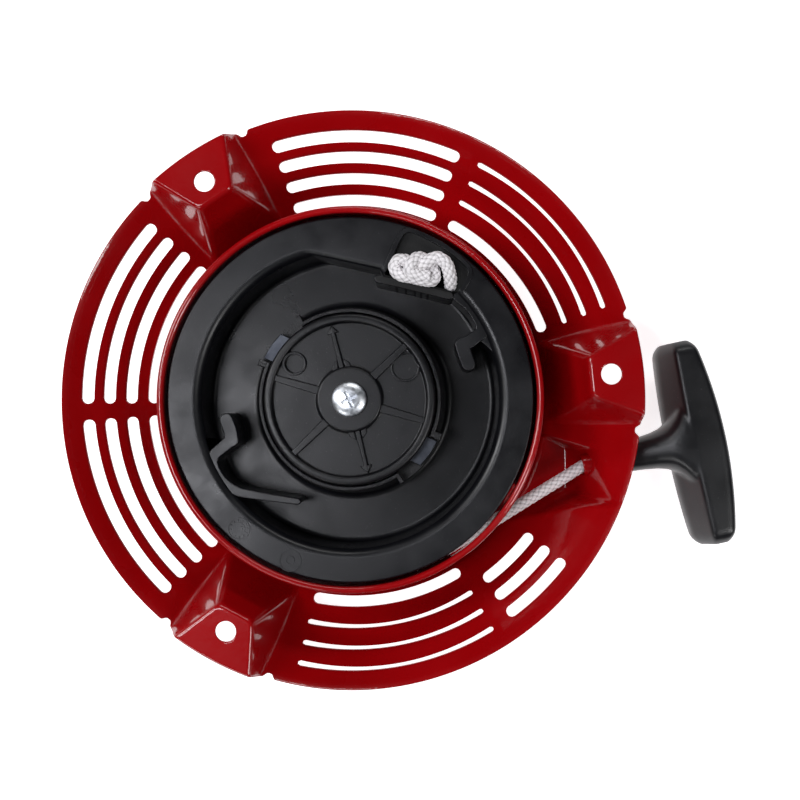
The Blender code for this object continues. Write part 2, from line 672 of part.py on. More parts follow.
def build_handle(mat):
    steps = 8
    outline = []
    for i in range(steps + 1):
        share = -1.0 + 2.0 * i / steps
        bow = GRIP_BOW * (1.0 - share * share)
        outline.append((GRIP_OUTER + bow, GRIP_HALF_LENGTH * 0.93 * share))
    outline += [(GRIP_OUTER - 4.5, GRIP_HALF_LENGTH), (GRIP_INNER + 4.5, GRIP_HALF_LENGTH),
                (GRIP_INNER + 1.0, GRIP_HALF_LENGTH * 0.93), (GRIP_INNER, 0.0),
                (GRIP_INNER + 1.0, -GRIP_HALF_LENGTH * 0.93), (GRIP_INNER + 4.5, -GRIP_HALF_LENGTH),
                (GRIP_OUTER - 4.5, -GRIP_HALF_LENGTH)]
    bar = prism("handle", [outline], -GRIP_DEPTH / 2, GRIP_DEPTH / 2)
    bar.location = Vector(OUTLET) * MM
    bar.rotation_euler = (0.0, 0.0, math.radians(PULL_ANGLE))
    bevel = bar.modifiers.new("Round", "BEVEL")
    bevel.width = 4.0 * MM
    bevel.segments = 3
    bevel.limit_method = "ANGLE"
    bevel.angle_limit = math.radians(50.0)

    stem = turned_on_pull("stem", [(STEM_START, 0.0), (STEM_START, STEM_TIP_RADIUS - 1.0),
                                   (STEM_START + 1.0, STEM_TIP_RADIUS), (20.0, 6.3), (27.0, 7.4), (31.0, 8.8),
                                   (36.0, 9.8), (36.0, 0.0)][::-1], 32, True)
    boolean(bar, stem, "UNION")
    bore, end = ROPE_RADIUS + CLEARANCE, KNOT_SEAT + 1.0
    hole = turned_on_pull("rope_bore", [(0.0, 0.0), (0.0, bore), (end, bore), (end, 0.0)][::-1], 24, True)
    boolean(bar, hole)
    pocket = turned_on_pull("knot_bore", [(KNOT_SEAT, 0.0), (KNOT_SEAT, KNOT_POCKET_RADIUS),
                                          (60.0, KNOT_POCKET_RADIUS), (60.0, 0.0)][::-1], 24, True)
    boolean(bar, pocket)
    return finish(bar, mat)


def build_handle_rope(mat):
    z = OUTLET[2]
    start, end = (*along_pull(2.9), z), (*along_pull(KNOT_SEAT + 0.3), z)
    finish(tube("handle_rope", [start, end], ROPE_RADIUS), mat, 60.0)
    bm = bmesh.new()
    bmesh.ops.create_icosphere(bm, subdivisions=2, radius=MM)
    x, y = along_pull(KNOT_SEAT + 5.4)
    shape = Matrix.Translation((x * MM, y * MM, z * MM)) @ Matrix.Diagonal((4.7, 5.3, 5.3, 1.0))
    bmesh.ops.transform(bm, matrix=shape, verts=bm.verts)
    mesh = bpy.data.meshes.new("handle_knot")
    bm.to_mesh(mesh)
    bm.free()
    finish(link(bpy.data.objects.new("handle_knot", mesh)), mat, 60.0)


def main():
    start_scene()
    red = (0.42, 0.004, 0.008)
    black = (0.02, 0.021, 0.024)
    white = (0.82, 0.81, 0.78)
    zinc = (0.62, 0.64, 0.66)
    build_case(material("case_paint", red, 0.22))
    build_cup(material("cup_paint", red, 0.25))
    build_post(material("post_steel", (0.45, 0.45, 0.46), 0.35, 1.0))
    build_screw(material("screw_zinc", zinc, 0.25, 1.0))
    build_recoil_spring(material("spring_steel", (0.25, 0.26, 0.28), 0.35, 1.0))
    build_reel(material("reel_plastic", black, 0.45))
    build_pawls(material("pawl_steel", (0.3, 0.3, 0.31), 0.4, 1.0))
    build_pawl_springs(material("pawl_spring_wire", (0.5, 0.5, 0.52), 0.3, 1.0))
    build_guide(material("guide_plastic", black, 0.5))
    build_friction_spring(material("friction_spring_wire", (0.5, 0.5, 0.52), 0.3, 1.0))
    build_ropes(material("rope_nylon", white, 0.7))
    build_handle(material("handle_plastic", (0.03, 0.031, 0.034), 0.4))
    build_handle_rope(material("handle_rope_nylon", white, 0.7))


main()
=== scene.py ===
"""Recoil starter: the finished look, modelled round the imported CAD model.

The frame is the CAD's: +Z along the reel's axis towards the engine, and the origin in the middle of the
front face. Lengths are in millimetres and are turned into metres where meshes are made.
"""
import math

import bmesh
import bpy
import numpy as np
from mathutils import Matrix, Vector


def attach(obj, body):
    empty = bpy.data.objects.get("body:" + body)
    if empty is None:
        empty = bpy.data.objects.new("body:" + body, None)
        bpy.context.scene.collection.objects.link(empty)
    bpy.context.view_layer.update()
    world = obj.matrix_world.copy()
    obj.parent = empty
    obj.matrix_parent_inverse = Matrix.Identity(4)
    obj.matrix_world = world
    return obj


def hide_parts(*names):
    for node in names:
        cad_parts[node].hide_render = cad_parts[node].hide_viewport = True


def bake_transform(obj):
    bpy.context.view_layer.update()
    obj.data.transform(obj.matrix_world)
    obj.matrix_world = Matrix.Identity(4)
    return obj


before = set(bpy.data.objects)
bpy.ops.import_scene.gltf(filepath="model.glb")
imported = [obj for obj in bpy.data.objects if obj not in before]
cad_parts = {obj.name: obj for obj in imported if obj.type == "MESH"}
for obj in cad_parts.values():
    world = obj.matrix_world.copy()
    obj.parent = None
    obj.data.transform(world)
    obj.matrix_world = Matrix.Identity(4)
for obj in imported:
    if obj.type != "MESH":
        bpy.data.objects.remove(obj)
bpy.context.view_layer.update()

MM = 0.001
END_KNOT_STEPS = 90
END_KNOT_RADIUS = 2.5

# Case
SHEET = 1.2
PAD_ANGLES = (1.8, 120.0, 238.2)
BOLT_CIRCLE = 89.8
BOLT_HOLE = 3.55
PAD_TOP = 46.0
PAD_INNER = (82.4, 6.7)
PAD_OUTER = (100.4, 15.1)
PAD_FRONT_SLOPE = 2.95
PAD_SIDE_SLOPE = 3.0
RIM_RADIUS = 100.9
WALL_PROFILE = ((60.0, 1.2), (66.9, 1.2), (68.4, 5.0), (70.4, 9.2), (77.5, 14.9), (85.0, 21.4), (92.0, 28.2),
                (98.4, 35.4), (100.0, 37.1), (RIM_RADIUS, 37.6))
SLOT_ROWS = (95.2, 88.9, 82.2, 75.2)
SLOT_WIDTH = 3.6
LOUVRE_GAP = 1.7
ROW_OFFSETS = (0.0, 0.25, 0.8, 1.25, LOUVRE_GAP, 2.35, 2.8, 3.35, SLOT_WIDTH)
PLAIN_GROUPS = ((62.3, 103.8, 4), (134.8, 177.1, 4), (180.6, 222.6, 4), (302.3, 319.3, 3))
LOUVRED_GROUPS = ((16.3, 58.1), (254.8, 298.1))
LOUVRE_LIFT = 1.0
NOTCH_FROM_PAD = 11.6
NOTCH_DEPTH = 1.5
NOTCH_HALF_WIDTH = 0.9
CASE_STEPS = 1080
OUTLET = Vector((82.0, -28.7, 18.5))
OUTLET_RADIUS = 3.9
OUTLET_FLOOR = 8.0
EYELET_RADII = (2.7, OUTLET_RADIUS + 0.1)
EYELET_ENDS = (-1.2, 3.4)
# Each wall of the outlet's pocket is a point, the outward normal and the slope.
OUTLET_WALLS = (((77.6, -22.5), (0.9987, -0.0515), 2.21), ((68.0, -17.0), (0.497, 0.868), 4.8),
                ((76.8, -38.0), (0.341, -0.940), 3.4), ((46.0, -34.0), (-1.0, 0.0), 3.0))

# Cup, post, reel, guide and screw
CUP_INNER = 64.5
CUP_TOP = 43.0
CUP_WINDOW = (-61.0, -31.0, 26.0, 37.0)
REEL_RADIUS = 63.2
REEL_TOP = 41.5
RECESS_FLOOR = 18.0
DIAL_PLACE = (-41.2, -42.0)
PLAIN_MARK_PLACE = (-24.2, -54.0)
RECESS_RADIUS = 51.5
HUB_RADIUS = 33.4
HUB_INNER = 29.9
HUB_TOP = 43.0
HUB_TOP_RADIUS = 31.4
RIB_TOP = 40.3
PAWL_PIVOT = (22.0, 100.0)
PAWL_TIP_ANGLE = 150.8
WINDOW_ANGLES = (119.5, 152.0)
GUIDE_RADIUS = 29.5
GUIDE_LOW = 43.2
GUIDE_TOP = 47.2
GUIDE_WEB = 45.0
SPOKE_PHASE = 40.3
SCREW_HEAD = 5.95

# Rope and handle
ROPE_RADIUS = 2.2
PULL_ANGLE = 8.0
GROOVE_RADIUS = 54.5
LEAD_HEIGHT = 33.6
GRIP_HALF_LENGTH = 36.6
GRIP_HALF_DEPTH = 11.0
KNOT_SEAT = 38.5


# ---------------------------------------------------------------- plans and paths

def polar(radius, degrees):
    angle = math.radians(degrees)
    return (radius * math.cos(angle), radius * math.sin(angle))


def arc(radius, start, end, steps):
    return [polar(radius, start + (end - start) * i / steps) for i in range(steps + 1)]


def turn_plan(points, degrees):
    c, s = math.cos(math.radians(degrees)), math.sin(math.radians(degrees))
    return [(x * c - y * s, x * s + y * c) for x, y in points]


def circle(radius, centre=(0.0, 0.0), steps=48):
    return [(centre[0] + x, centre[1] + y) for x, y in arc(radius, 0.0, 360.0, steps)[:-1]]


def smooth_path(points, spacing):
    """Catmull-Rom curve through points, sampled about every spacing."""
    pts = [Vector(p) for p in points]
    pts = [pts[0] * 2 - pts[1]] + pts + [pts[-1] * 2 - pts[-2]]
    path = []
    for p0, p1, p2, p3 in zip(pts, pts[1:], pts[2:], pts[3:]):
        count = max(2, round((p2 - p1).length / spacing))
        for k in range(count):
            t = k / count
            path.append(0.5 * (2 * p1 + (p2 - p0) * t + (2 * p0 - 5 * p1 + 4 * p2 - p3) * t * t
                               + (3 * p1 - p0 - 3 * p2 + p3) * t ** 3))
    path.append(pts[-2])
    return path


def ribbon_plan(points, half_widths, spacing=0.8):
    """Outline of a rib with round ends, along a smooth path whose half width may change."""
    path = smooth_path(points, spacing)
    count = len(path)
    left, right = [], []
    for i, point in enumerate(path):
        along = (path[min(i + 1, count - 1)] - path[max(i - 1, 0)]).normalized()
        half = float(np.interp(i / (count - 1), np.linspace(0, 1, len(half_widths)), half_widths))
        side = Vector((-along.y, along.x)) * half
        left.append(point + side)
        right.append(point - side)
    caps = []
    for end, sign in ((0, -1), (-1, 1)):
        along = (path[-1] - path[-2]).normalized() if end else (path[1] - path[0]).normalized()
        half = half_widths[end]
        side = Vector((-along.y, along.x))
        caps.append([path[end] + side * half * math.cos(a) + along * sign * half * math.sin(a)
                     for a in (math.pi * k / 8 for k in range(1, 8))])
    outline = left + caps[1] + right[::-1] + caps[0][::-1]
    return [tuple(p) for p in outline]


def fillet(points, sizes, steps=4):
    """Closed outline with its corners rounded: size is how far back from the corner the curve starts."""
    rounded = []
    for i, (point, size) in enumerate(zip(points, sizes)):
        here = Vector(point)
        if not size:
            rounded.append(tuple(here))
            continue
        before, after = Vector(points[i - 1]), Vector(points[(i + 1) % len(points)])
        a = here + (before - here).normalized() * size
        b = here + (after - here).normalized() * size
        for k in range(steps + 1):
            t = k / steps
            rounded.append(tuple(a * (1 - t) ** 2 + here * 2 * t * (1 - t) + b * t * t))
    return rounded


# ---------------------------------------------------------------- meshes

def make_object(name, mesh):
    obj = bpy.data.objects.new(name, mesh)
    bpy.context.scene.collection.objects.link(obj)
    return obj


def from_bmesh(name, bm, sharp=38.0):
    bmesh.ops.recalc_face_normals(bm, faces=bm.faces)
    mesh = bpy.data.meshes.new(name)
    bm.to_mesh(mesh)
    bm.free()
    shade(mesh, sharp)
    return make_object(name, mesh)


def shade(mesh, sharp):
    mesh.shade_smooth()
    mesh.set_sharp_from_angle(angle=math.radians(sharp))


def turned(name, profile, steps=192, sharp=38.0):
    """Solid of revolution about Z of a closed profile of (radius, height)."""
    bm = bmesh.new()
    rings = []
    for radius, height in profile:
        if radius < 1e-6:
            rings.append([bm.verts.new((0.0, 0.0, height * MM))] * steps)
        else:
            rings.append([bm.verts.new((x * MM, y * MM, height * MM))
                          for x, y in circle(radius, steps=steps)])
    for a, b in zip(rings, rings[1:] + rings[:1]):
        for i in range(steps):
            j = (i + 1) % steps
            corners = list(dict.fromkeys((a[i], a[j], b[j], b[i])))
            if len(corners) > 2:
                bm.faces.new(corners)
    return from_bmesh(name, bm, sharp)


def prism(name, plan, low, high, bevel=0.0):
    """Flat outline extruded between two heights, with its top edge rounded."""
    bm = bmesh.new()
    top = [bm.verts.new((x * MM, y * MM, high * MM)) for x, y in plan]
    face = bm.faces.new(top)
    foot = bmesh.ops.extrude_face_region(bm, geom=[face])["geom"]
    foot = [e for e in foot if isinstance(e, bmesh.types.BMVert)]
    for vert in foot:
        vert.co.z = low * MM
    bmesh.ops.recalc_face_normals(bm, faces=bm.faces)
    if bevel:
        rim = [e for e in bm.edges if all(abs(v.co.z - high * MM) < 1e-7 for v in e.verts)]
        bmesh.ops.bevel(bm, geom=rim, offset=bevel * MM, segments=3, profile=0.5, affect="EDGES",
                        clamp_overlap=True)
    return from_bmesh(name, bm)


def combine(obj, others, operation="DIFFERENCE", sharp=38.0):
    """Boolean of a piece with cutters or additions, applied, and the other solids removed."""
    for other in others:
        modifier = obj.modifiers.new(other.name, "BOOLEAN")
        modifier.operation = operation
        modifier.solver = "EXACT"
        modifier.object = other
    depsgraph = bpy.context.evaluated_depsgraph_get()
    depsgraph.update()
    mesh = bpy.data.meshes.new_from_object(obj.evaluated_get(depsgraph))
    obj.modifiers.clear()
    obj.data = mesh
    for other in others:
        bpy.data.objects.remove(other, do_unlink=True)
    bm = bmesh.new()
    bm.from_mesh(mesh)
    bmesh.ops.remove_doubles(bm, verts=bm.verts, dist=0.000002)
    bmesh.ops.dissolve_degenerate(bm, edges=bm.edges, dist=0.000002)
    bm.to_mesh(mesh)
    bm.free()
    shade(mesh, sharp)
    return obj


def even_normals(obj):
    """Flat faces keep flat shading beside their rounded edges."""
    modifier = obj.modifiers.new("Normals", "WEIGHTED_NORMAL")
    modifier.keep_sharp = True
    return obj


def dress(obj, body, slot, mat, *nodes):
    """Material, body and the CAD nodes that a piece stands for; the finish slot argument is not used."""
    obj.data.materials.clear()
    obj.data.materials.append(mat)
    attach(obj, body)
    if nodes:
        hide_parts(*nodes)
    return obj


# ---------------------------------------------------------------- materials

class Nodes:
    """A Principled material and short calls for the textures that feed it."""

    def __init__(self, name, roughness, metallic=0.0, **uniform):
        self.mat = bpy.data.materials.new(name)
        self.mat.use_nodes = True
        self.tree = self.mat.node_tree
        self.shader = self.tree.nodes["Principled BSDF"]
        self.shader.inputs["Roughness"].default_value = roughness
        self.shader.inputs["Metallic"].default_value = metallic
        for socket, value in uniform.items():
            self.shader.inputs[socket.replace("_", " ")].default_value = value
        self.coords = self.tree.nodes.new("ShaderNodeTexCoord")

    def link(self, a, b):
        self.tree.links.new(a, b)

    def vector(self, source="Object", scale=(1.0, 1.0, 1.0)):
        mapping = self.tree.nodes.new("ShaderNodeMapping")
        mapping.inputs["Scale"].default_value = scale
        self.link(self.coords.outputs[source], mapping.inputs["Vector"])
        return mapping.outputs["Vector"]

    def noise(self, scale, detail=2.0, vector=None, roughness=0.5):
        node = self.tree.nodes.new("ShaderNodeTexNoise")
        node.inputs["Scale"].default_value = scale
        node.inputs["Detail"].default_value = detail
        node.inputs["Roughness"].default_value = roughness
        self.link(vector or self.coords.outputs["Object"], node.inputs["Vector"])
        return node.outputs["Fac"]

    def ramp(self, value, low, high, start=0.35, end=0.65):
        node = self.tree.nodes.new("ShaderNodeValToRGB")
        node.color_ramp.elements[0].position = start
        node.color_ramp.elements[1].position = end
        node.color_ramp.elements[0].color = (*low, 1.0)
        node.color_ramp.elements[1].color = (*high, 1.0)
        self.link(value, node.inputs["Fac"])
        return node.outputs["Color"]

    def range(self, value, low, high, start=0.3, end=0.7):
        node = self.tree.nodes.new("ShaderNodeMapRange")
        for socket, number in zip(("From Min", "From Max", "To Min", "To Max"), (start, end, low, high)):
            node.inputs[socket].default_value = number
        self.link(value, node.inputs["Value"])
        return node.outputs["Result"]

    def mix(self, factor, a, b):
        node = self.tree.nodes.new("ShaderNodeMix")
        node.data_type = "RGBA"
        node.blend_type = "MIX"
        self.link(factor, node.inputs["Factor"])
        for socket, value in ((node.inputs["A"], a), (node.inputs["B"], b)):
            if isinstance(value, tuple):
                socket.default_value = (*value, 1.0)
            else:
                self.link(value, socket)
        return node.outputs["Result"]

    def bump(self, value, strength, distance, before=None):
        node = self.tree.nodes.new("ShaderNodeBump")
        node.inputs["Strength"].default_value = strength
        node.inputs["Distance"].default_value = distance
        self.link(value, node.inputs["Height"])
        if before:
            self.link(before, node.inputs["Normal"])
        return node.outputs["Normal"]

    def plug(self, **sockets):
        for socket, output in sockets.items():
            self.link(output, self.shader.inputs[socket.replace("_", " ")])
        return self.mat


def paint(name):
    """Deep gloss red with a little orange peel and thin dust."""
    n = Nodes(name, 0.3, Coat_Weight=0.9, Coat_Roughness=0.03, Specular_IOR_Level=0.12)
    drift = n.noise(14.0, 3.0)
    colour = n.ramp(drift, (0.27, 0.0006, 0.0018), (0.36, 0.0010, 0.0030))
    dust = n.range(n.noise(420.0, 4.0), 0.0, 0.16, 0.68, 0.82)
    colour = n.mix(dust, colour, (0.46, 0.03, 0.03))
    peel = n.bump(n.noise(260.0, 2.0), 0.10, 0.0006)
    fine = n.bump(n.noise(1500.0, 1.0), 0.05, 0.0002, peel)
    rough = n.range(n.noise(60.0, 3.0), 0.22, 0.36)
    return n.plug(Base_Color=colour, Roughness=rough, Normal=fine, Coat_Normal=fine)


def plastic(name, low, high, roughness, grain, specks=0.0):
    """Black moulded plastic: satin, faintly mottled, with fine grain and a little dust."""
    n = Nodes(name, roughness, Specular_IOR_Level=0.42)
    mottle = n.noise(45.0, 5.0, roughness=0.6)
    colour = n.ramp(mottle, low, high)
    if specks:
        dust = n.range(n.noise(1300.0, 1.0), 0.0, specks, 0.70, 0.78)
        colour = n.mix(dust, colour, (0.16, 0.16, 0.17))
    rough = n.range(n.noise(90.0, 4.0), roughness - 0.06, roughness + 0.08)
    flow = n.bump(n.noise(30.0, 2.0, n.vector(scale=(1.0, 1.0, 0.3))), 0.08, 0.002)
    fine = n.bump(n.noise(2600.0, 3.0), grain, 0.00025, flow)
    return n.plug(Base_Color=colour, Roughness=rough, Normal=fine)


def metal(name, low, high, roughness, drawn=(1.0, 1.0, 1.0), scratch=0.12):
    """Bare or plated steel with passivation drift and fine scratches along the drawn direction."""
    n = Nodes(name, roughness, 1.0, Anisotropic=0.2)
    colour = n.ramp(n.noise(160.0, 3.0), low, high)
    lines = n.noise(900.0, 3.0, n.vector(scale=drawn))
    rough = n.range(lines, roughness - 0.06, roughness + 0.12)
    return n.plug(Base_Color=colour, Roughness=rough, Normal=n.bump(lines, scratch, 0.0002))


def nylon(name, relief):
    """White braided rope: bright ridges, grooves darkened by painted shade, silky filaments."""
    n = Nodes(name, 0.55, Sheen_Weight=0.35, Sheen_Roughness=0.4, Specular_IOR_Level=0.4)
    if relief:
        height = n.tree.nodes.new("ShaderNodeAttribute")
        height.attribute_name = "relief"
        # Painted shade: the colour darkens from the strands' ridges down into the grooves between them.
        colour = n.ramp(height.outputs["Fac"], (0.20, 0.185, 0.19), (0.95, 0.92, 0.94), 0.05, 0.80)
        fibres = n.noise(1.0, 3.0, n.vector("UV", (70.0, 900.0, 1.0)))
    else:
        colour = n.ramp(n.noise(500.0, 2.0), (0.55, 0.53, 0.52), (0.85, 0.84, 0.83))
        fibres = n.noise(2600.0, 2.0)
    soil = n.range(n.noise(110.0, 3.0), 0.0, 0.25, 0.45, 0.75)
    colour = n.mix(soil, colour, (0.62, 0.60, 0.57))
    return n.plug(Base_Color=colour, Normal=n.bump(fibres, 0.35, 0.0002))


# ---------------------------------------------------------------- case

def smooth_min(a, b, size):
    overlap = np.maximum(size - np.abs(a - b), 0.0) / size
    return np.minimum(a, b) - overlap * overlap * size / 4


def smooth_max(a, b, size):
    return -smooth_min(-a, -b, size)


def wall_height(radius, inset):
    """Height of the plain wall; with an inset it is the sheet's other face."""
    radii, heights = zip(*WALL_PROFILE)
    spread = np.linspace(-1.0, 1.0, 9)
    reach = np.clip((RIM_RADIUS + 0.6 - radius) / 2.0, 0.15, 1.0)

    def smooth(r):
        return np.mean([np.interp(r + d * reach, radii, heights) for d in spread], axis=0)

    slope = (smooth(radius + 0.1) - smooth(radius - 0.1)) / 0.2
    return np.maximum(smooth(radius) - inset * np.sqrt(1.0 + slope * slope), SHEET - inset)


def tilted(inset, slope):
    """How far a sheet's other face lies below, where it slopes."""
    return inset * math.sqrt(1.0 + slope * slope)


def case_height(x, y, inset):
    """Height of the pressed case over the plan: its wall, the rope's pocket and the three pads."""
    height = wall_height(np.hypot(x, y), inset)
    pocket = np.full_like(x, OUTLET_FLOOR - inset)
    for (px, py), (nx, ny), slope in OUTLET_WALLS:
        side = OUTLET_FLOOR + slope * ((x - px) * nx + (y - py) * ny) - tilted(inset, slope)
        pocket = smooth_max(pocket, side, 4.0)
    height = smooth_min(height, pocket, 2.6)
    (u1, v1), (u2, v2) = PAD_INNER, PAD_OUTER
    length = math.hypot(u2 - u1, v2 - v1)
    for angle in PAD_ANGLES:
        c, s = polar(1.0, angle)
        u = x * c + y * s
        v = np.abs(y * c - x * s)
        beside = ((v - v1) * (u2 - u1) - (u - u1) * (v2 - v1)) / length
        front = PAD_TOP - PAD_FRONT_SLOPE * (u1 - u) - tilted(inset, PAD_FRONT_SLOPE)
        side = PAD_TOP - PAD_SIDE_SLOPE * beside - tilted(inset, PAD_SIDE_SLOPE)
        walls = smooth_min(front, side, 5.5)
        pad = smooth_min(walls, np.full_like(x, PAD_TOP - inset), 2.4)
        height = smooth_max(height, pad, 3.4)
    return height


def ring_radii():
    """Radii of the case's rings, and the first and last ring of each slot row."""
    radii = [20.0, 40.0, 56.0, 63.0, 66.0, 66.9]
    rows = []
    for outer in reversed(SLOT_ROWS):
        last, inner = radii[-1], outer - SLOT_WIDTH
        gaps = round((inner - last) / 0.8)
        radii += [last + (inner - last) * i / gaps for i in range(1, gaps)]
        rows.append((len(radii), len(radii) + len(ROW_OFFSETS) - 1))
        radii += [outer - offset for offset in reversed(ROW_OFFSETS)]
    last = radii[-1]
    radii += [last + (RIM_RADIUS - 0.3 - last) * i / 8 for i in range(1, 9)] + [RIM_RADIUS]
    return np.array(radii), rows[::-1]


def slot_list():
    """Every vent slot as (row, start, end, louvred)."""
    slots = []
    for start, end, rows in PLAIN_GROUPS:
        slots += [(row, start, end, False) for row in range(rows)]
    for start, end in LOUVRED_GROUPS:
        slots += [(row, start, end, row < 3) for row in range(4)]
    return slots


def shape_slots(radii, rows, angles):
    """Move the grid's columns onto the slots' round ends, and list the faces that each slot takes away."""
    step = 360.0 / CASE_STEPS
    width_of_pull = 5
    gone = np.zeros((len(radii) - 1, CASE_STEPS), bool)
    for row, start, end, louvred in slot_list():
        first, last = rows[row]
        if louvred:
            first = last - ROW_OFFSETS.index(LOUVRE_GAP)
        half = (radii[last] - radii[first]) / 2
        middle = (radii[last] + radii[first]) / 2
        power = 4.0 if louvred else 2.0
        columns = []
        for side, tip in ((-1, start), (1, end)):
            centre = tip - side * math.degrees(half / middle)
            column = round((centre + side * math.degrees(half / 2 / middle)) / step)
            columns.append(column)
            pulls = {}
            for ring in range(first, last + 1):
                share = min(1.0, abs(radii[ring] - middle) / half)
                reach = half * (1.0 - share ** power) ** (1.0 / power)
                pulls[ring] = centre + side * math.degrees(reach / radii[ring]) - column * step
            for beyond, share in ((1, 0.6), (2, 0.25)):
                pulls[first - beyond] = pulls[first] * share
                pulls[last + beyond] = pulls[last] * share
            for ring, pull in pulls.items():
                for k in range(-width_of_pull + 1, width_of_pull):
                    angles[ring, (column + k) % CASE_STEPS] += pull * (1.0 - abs(k) / width_of_pull)
        gone[first:last, np.arange(columns[0], columns[1]) % CASE_STEPS] = True
    return gone


def louvre_shape(radii, rows, angles):
    """Lift of the lanced lip beside each louvre, and how far its edge leans out over the gap."""
    lift = np.zeros_like(angles)
    lean = np.zeros_like(angles)
    for row, start, end, louvred in slot_list():
        if not louvred:
            continue
        first, last = rows[row]
        edge = last - ROW_OFFSETS.index(LOUVRE_GAP)
        share = np.clip((angles - start) / (end - start), 0.0, 1.0)
        bow = np.sin(math.pi * share) ** 0.5
        for ring in range(first - 2, edge + 1):
            rise = (radii[ring] - radii[first - 2]) / (radii[edge] - radii[first - 2])
            lift[ring] += LOUVRE_LIFT * bow[ring] * rise ** 1.6
            lean[ring] += 0.45 * bow[ring] ** 2 * rise
    return lift, lean


def sheet_mesh(name, upper, lower, gone):
    """Closed sheet from two grids of points (ring, step, xyz) with faces missing.

    Each of its two sides is closed at the middle of the case.
    """
    rings, steps = upper.shape[:2]
    count = rings * steps
    points = np.concatenate([upper.reshape(-1, 3), lower.reshape(-1, 3),
                             [[0.0, 0.0, upper[0, 0, 2]], [0.0, 0.0, lower[0, 0, 2]]]])
    ring, step = np.nonzero(~gone)
    after = (step + 1) % steps
    a, b = ring * steps + step, ring * steps + after
    c, d = (ring + 1) * steps + after, (ring + 1) * steps + step
    faces = np.concatenate([np.stack([a, d, c, b], 1), np.stack([a, b, c, d], 1) + count])
    faces = [tuple(f) for f in faces.tolist()]
    kept = np.pad(~gone, ((0, 1), (0, 0)))
    for j in range(1, rings):
        for i in np.nonzero(kept[j - 1] != kept[j])[0]:
            e, f = j * steps + i, j * steps + (i + 1) % steps
            faces.append((e, f, f + count, e + count) if kept[j - 1, i] else (f, e, e + count, f + count))
    for j in range(rings - 1):
        for i in np.nonzero(kept[j] != np.roll(kept[j], 1))[0]:
            e, f = j * steps + i, (j + 1) * steps + i
            faces.append((e, f, f + count, e + count) if kept[j, i - 1] else (f, e, e + count, f + count))
    for i in range(steps):
        k = (i + 1) % steps
        faces.append((2 * count, i, k))
        faces.append((2 * count + 1, k + count, i + count))
    used = np.zeros(len(points), bool)
    used[np.concatenate([np.array(f) for f in faces])] = True
    place = np.cumsum(used) - 1
    mesh = bpy.data.meshes.new(name)
    mesh.from_pydata((points[used] * MM).tolist(), [], [tuple(place[list(f)].tolist()) for f in faces])
    bm = bmesh.new()
    bm.from_mesh(mesh)
    bmesh.ops.recalc_face_normals(bm, faces=bm.faces)
    bm.to_mesh(mesh)
    bm.free()
    shade(mesh, 50.0)
    return make_object(name, mesh)


def make_case(mat):
    radii, rows = ring_radii()
    angles = np.tile(np.arange(CASE_STEPS) * 360.0 / CASE_STEPS, (len(radii), 1))
    gone = shape_slots(radii, rows, angles)
    lift, lean = louvre_shape(radii, rows, angles)
    reach = radii[:, None] + lean
    near_rim = np.clip((reach - 96.5) / (RIM_RADIUS - 96.5), 0.0, 1.0)
    for pad in PAD_ANGLES:
        for side in (-1, 1):
            away = (angles - pad - side * NOTCH_FROM_PAD + 180.0) % 360.0 - 180.0
            reach = reach - NOTCH_DEPTH * near_rim * np.exp(-(away / NOTCH_HALF_WIDTH) ** 4)
    x = reach * np.cos(np.radians(angles))
    y = reach * np.sin(np.radians(angles))
    upper = case_height(x, y, 0.0) + lift
    lower = case_height(x, y, SHEET) + lift
    upper[-1] -= 0.3
    lower[-1] += 0.3
    case = sheet_mesh("case", np.stack([x, y, upper], 2), np.stack([x, y, lower], 2), gone)

    cutters = []
    for number, angle in enumerate(PAD_ANGLES, 1):
        hole = turned(f"bolt_hole_{number}", [(0.0, 49.0), (BOLT_HOLE + 0.12, 49.0),
                                              (BOLT_HOLE + 0.12, PAD_TOP), (BOLT_HOLE, PAD_TOP - 0.12),
                                              (BOLT_HOLE, 40.0), (0.0, 40.0)], 96)
        hole.location = Vector((*polar(BOLT_CIRCLE, angle), 0.0)) * MM
        cutters.append(hole)
    hole = turned("outlet_hole", [(0.0, 4.5), (OUTLET_RADIUS, 4.5), (OUTLET_RADIUS, -6.0), (0.0, -6.0)], 64)
    hole.matrix_world = along_pull_matrix(0.0)
    cutters.append(hole)
    combine(case, cutters, sharp=50.0)
    dress(case, "case", "case_paint", mat, "case_shell")

    bore, outside = EYELET_RADII
    low, high = EYELET_ENDS
    sleeve = [(bore, low), (outside, low), (outside, high), (bore, high)]
    eyelet = turned("outlet_eyelet", fillet(sleeve, (0.6, 0.5, 0.6, 0.8), 5), 64)
    eyelet.matrix_world = along_pull_matrix(0.0)
    dress(eyelet, "case", "case_paint", mat)


def make_cup(mat):
    inner, outer = CUP_INNER, CUP_INNER + SHEET
    floor = SHEET + 0.3
    bead = [(65.5 + dr, CUP_TOP - 0.45 + dz) for dr, dz in arc(1.2, 205.0, -65.0, 22)]
    profile = bead + [(outer, CUP_TOP - 3.0), (outer, floor + 2.5), (outer - 0.7, floor + 0.7),
                      (outer - 2.5, floor), (4.2, floor), (4.2, floor + SHEET), (inner - 2.2, floor + SHEET),
                      (inner - 0.5, floor + SHEET + 0.7), (inner, floor + SHEET + 2.2),
                      (inner, CUP_TOP - 2.2)]
    cup = turned("cup", profile, 256)
    start, end, low, high = CUP_WINDOW
    window = [polar(CUP_INNER + 5.0, start), polar(CUP_INNER + 5.0, end), polar(CUP_INNER - 5.0, end),
              polar(CUP_INNER - 5.0, start)]
    combine(cup, [prism("cup_window", window, low, high)])
    dress(cup, "case", "case_paint", mat, "inner_cup")


# ---------------------------------------------------------------- reel

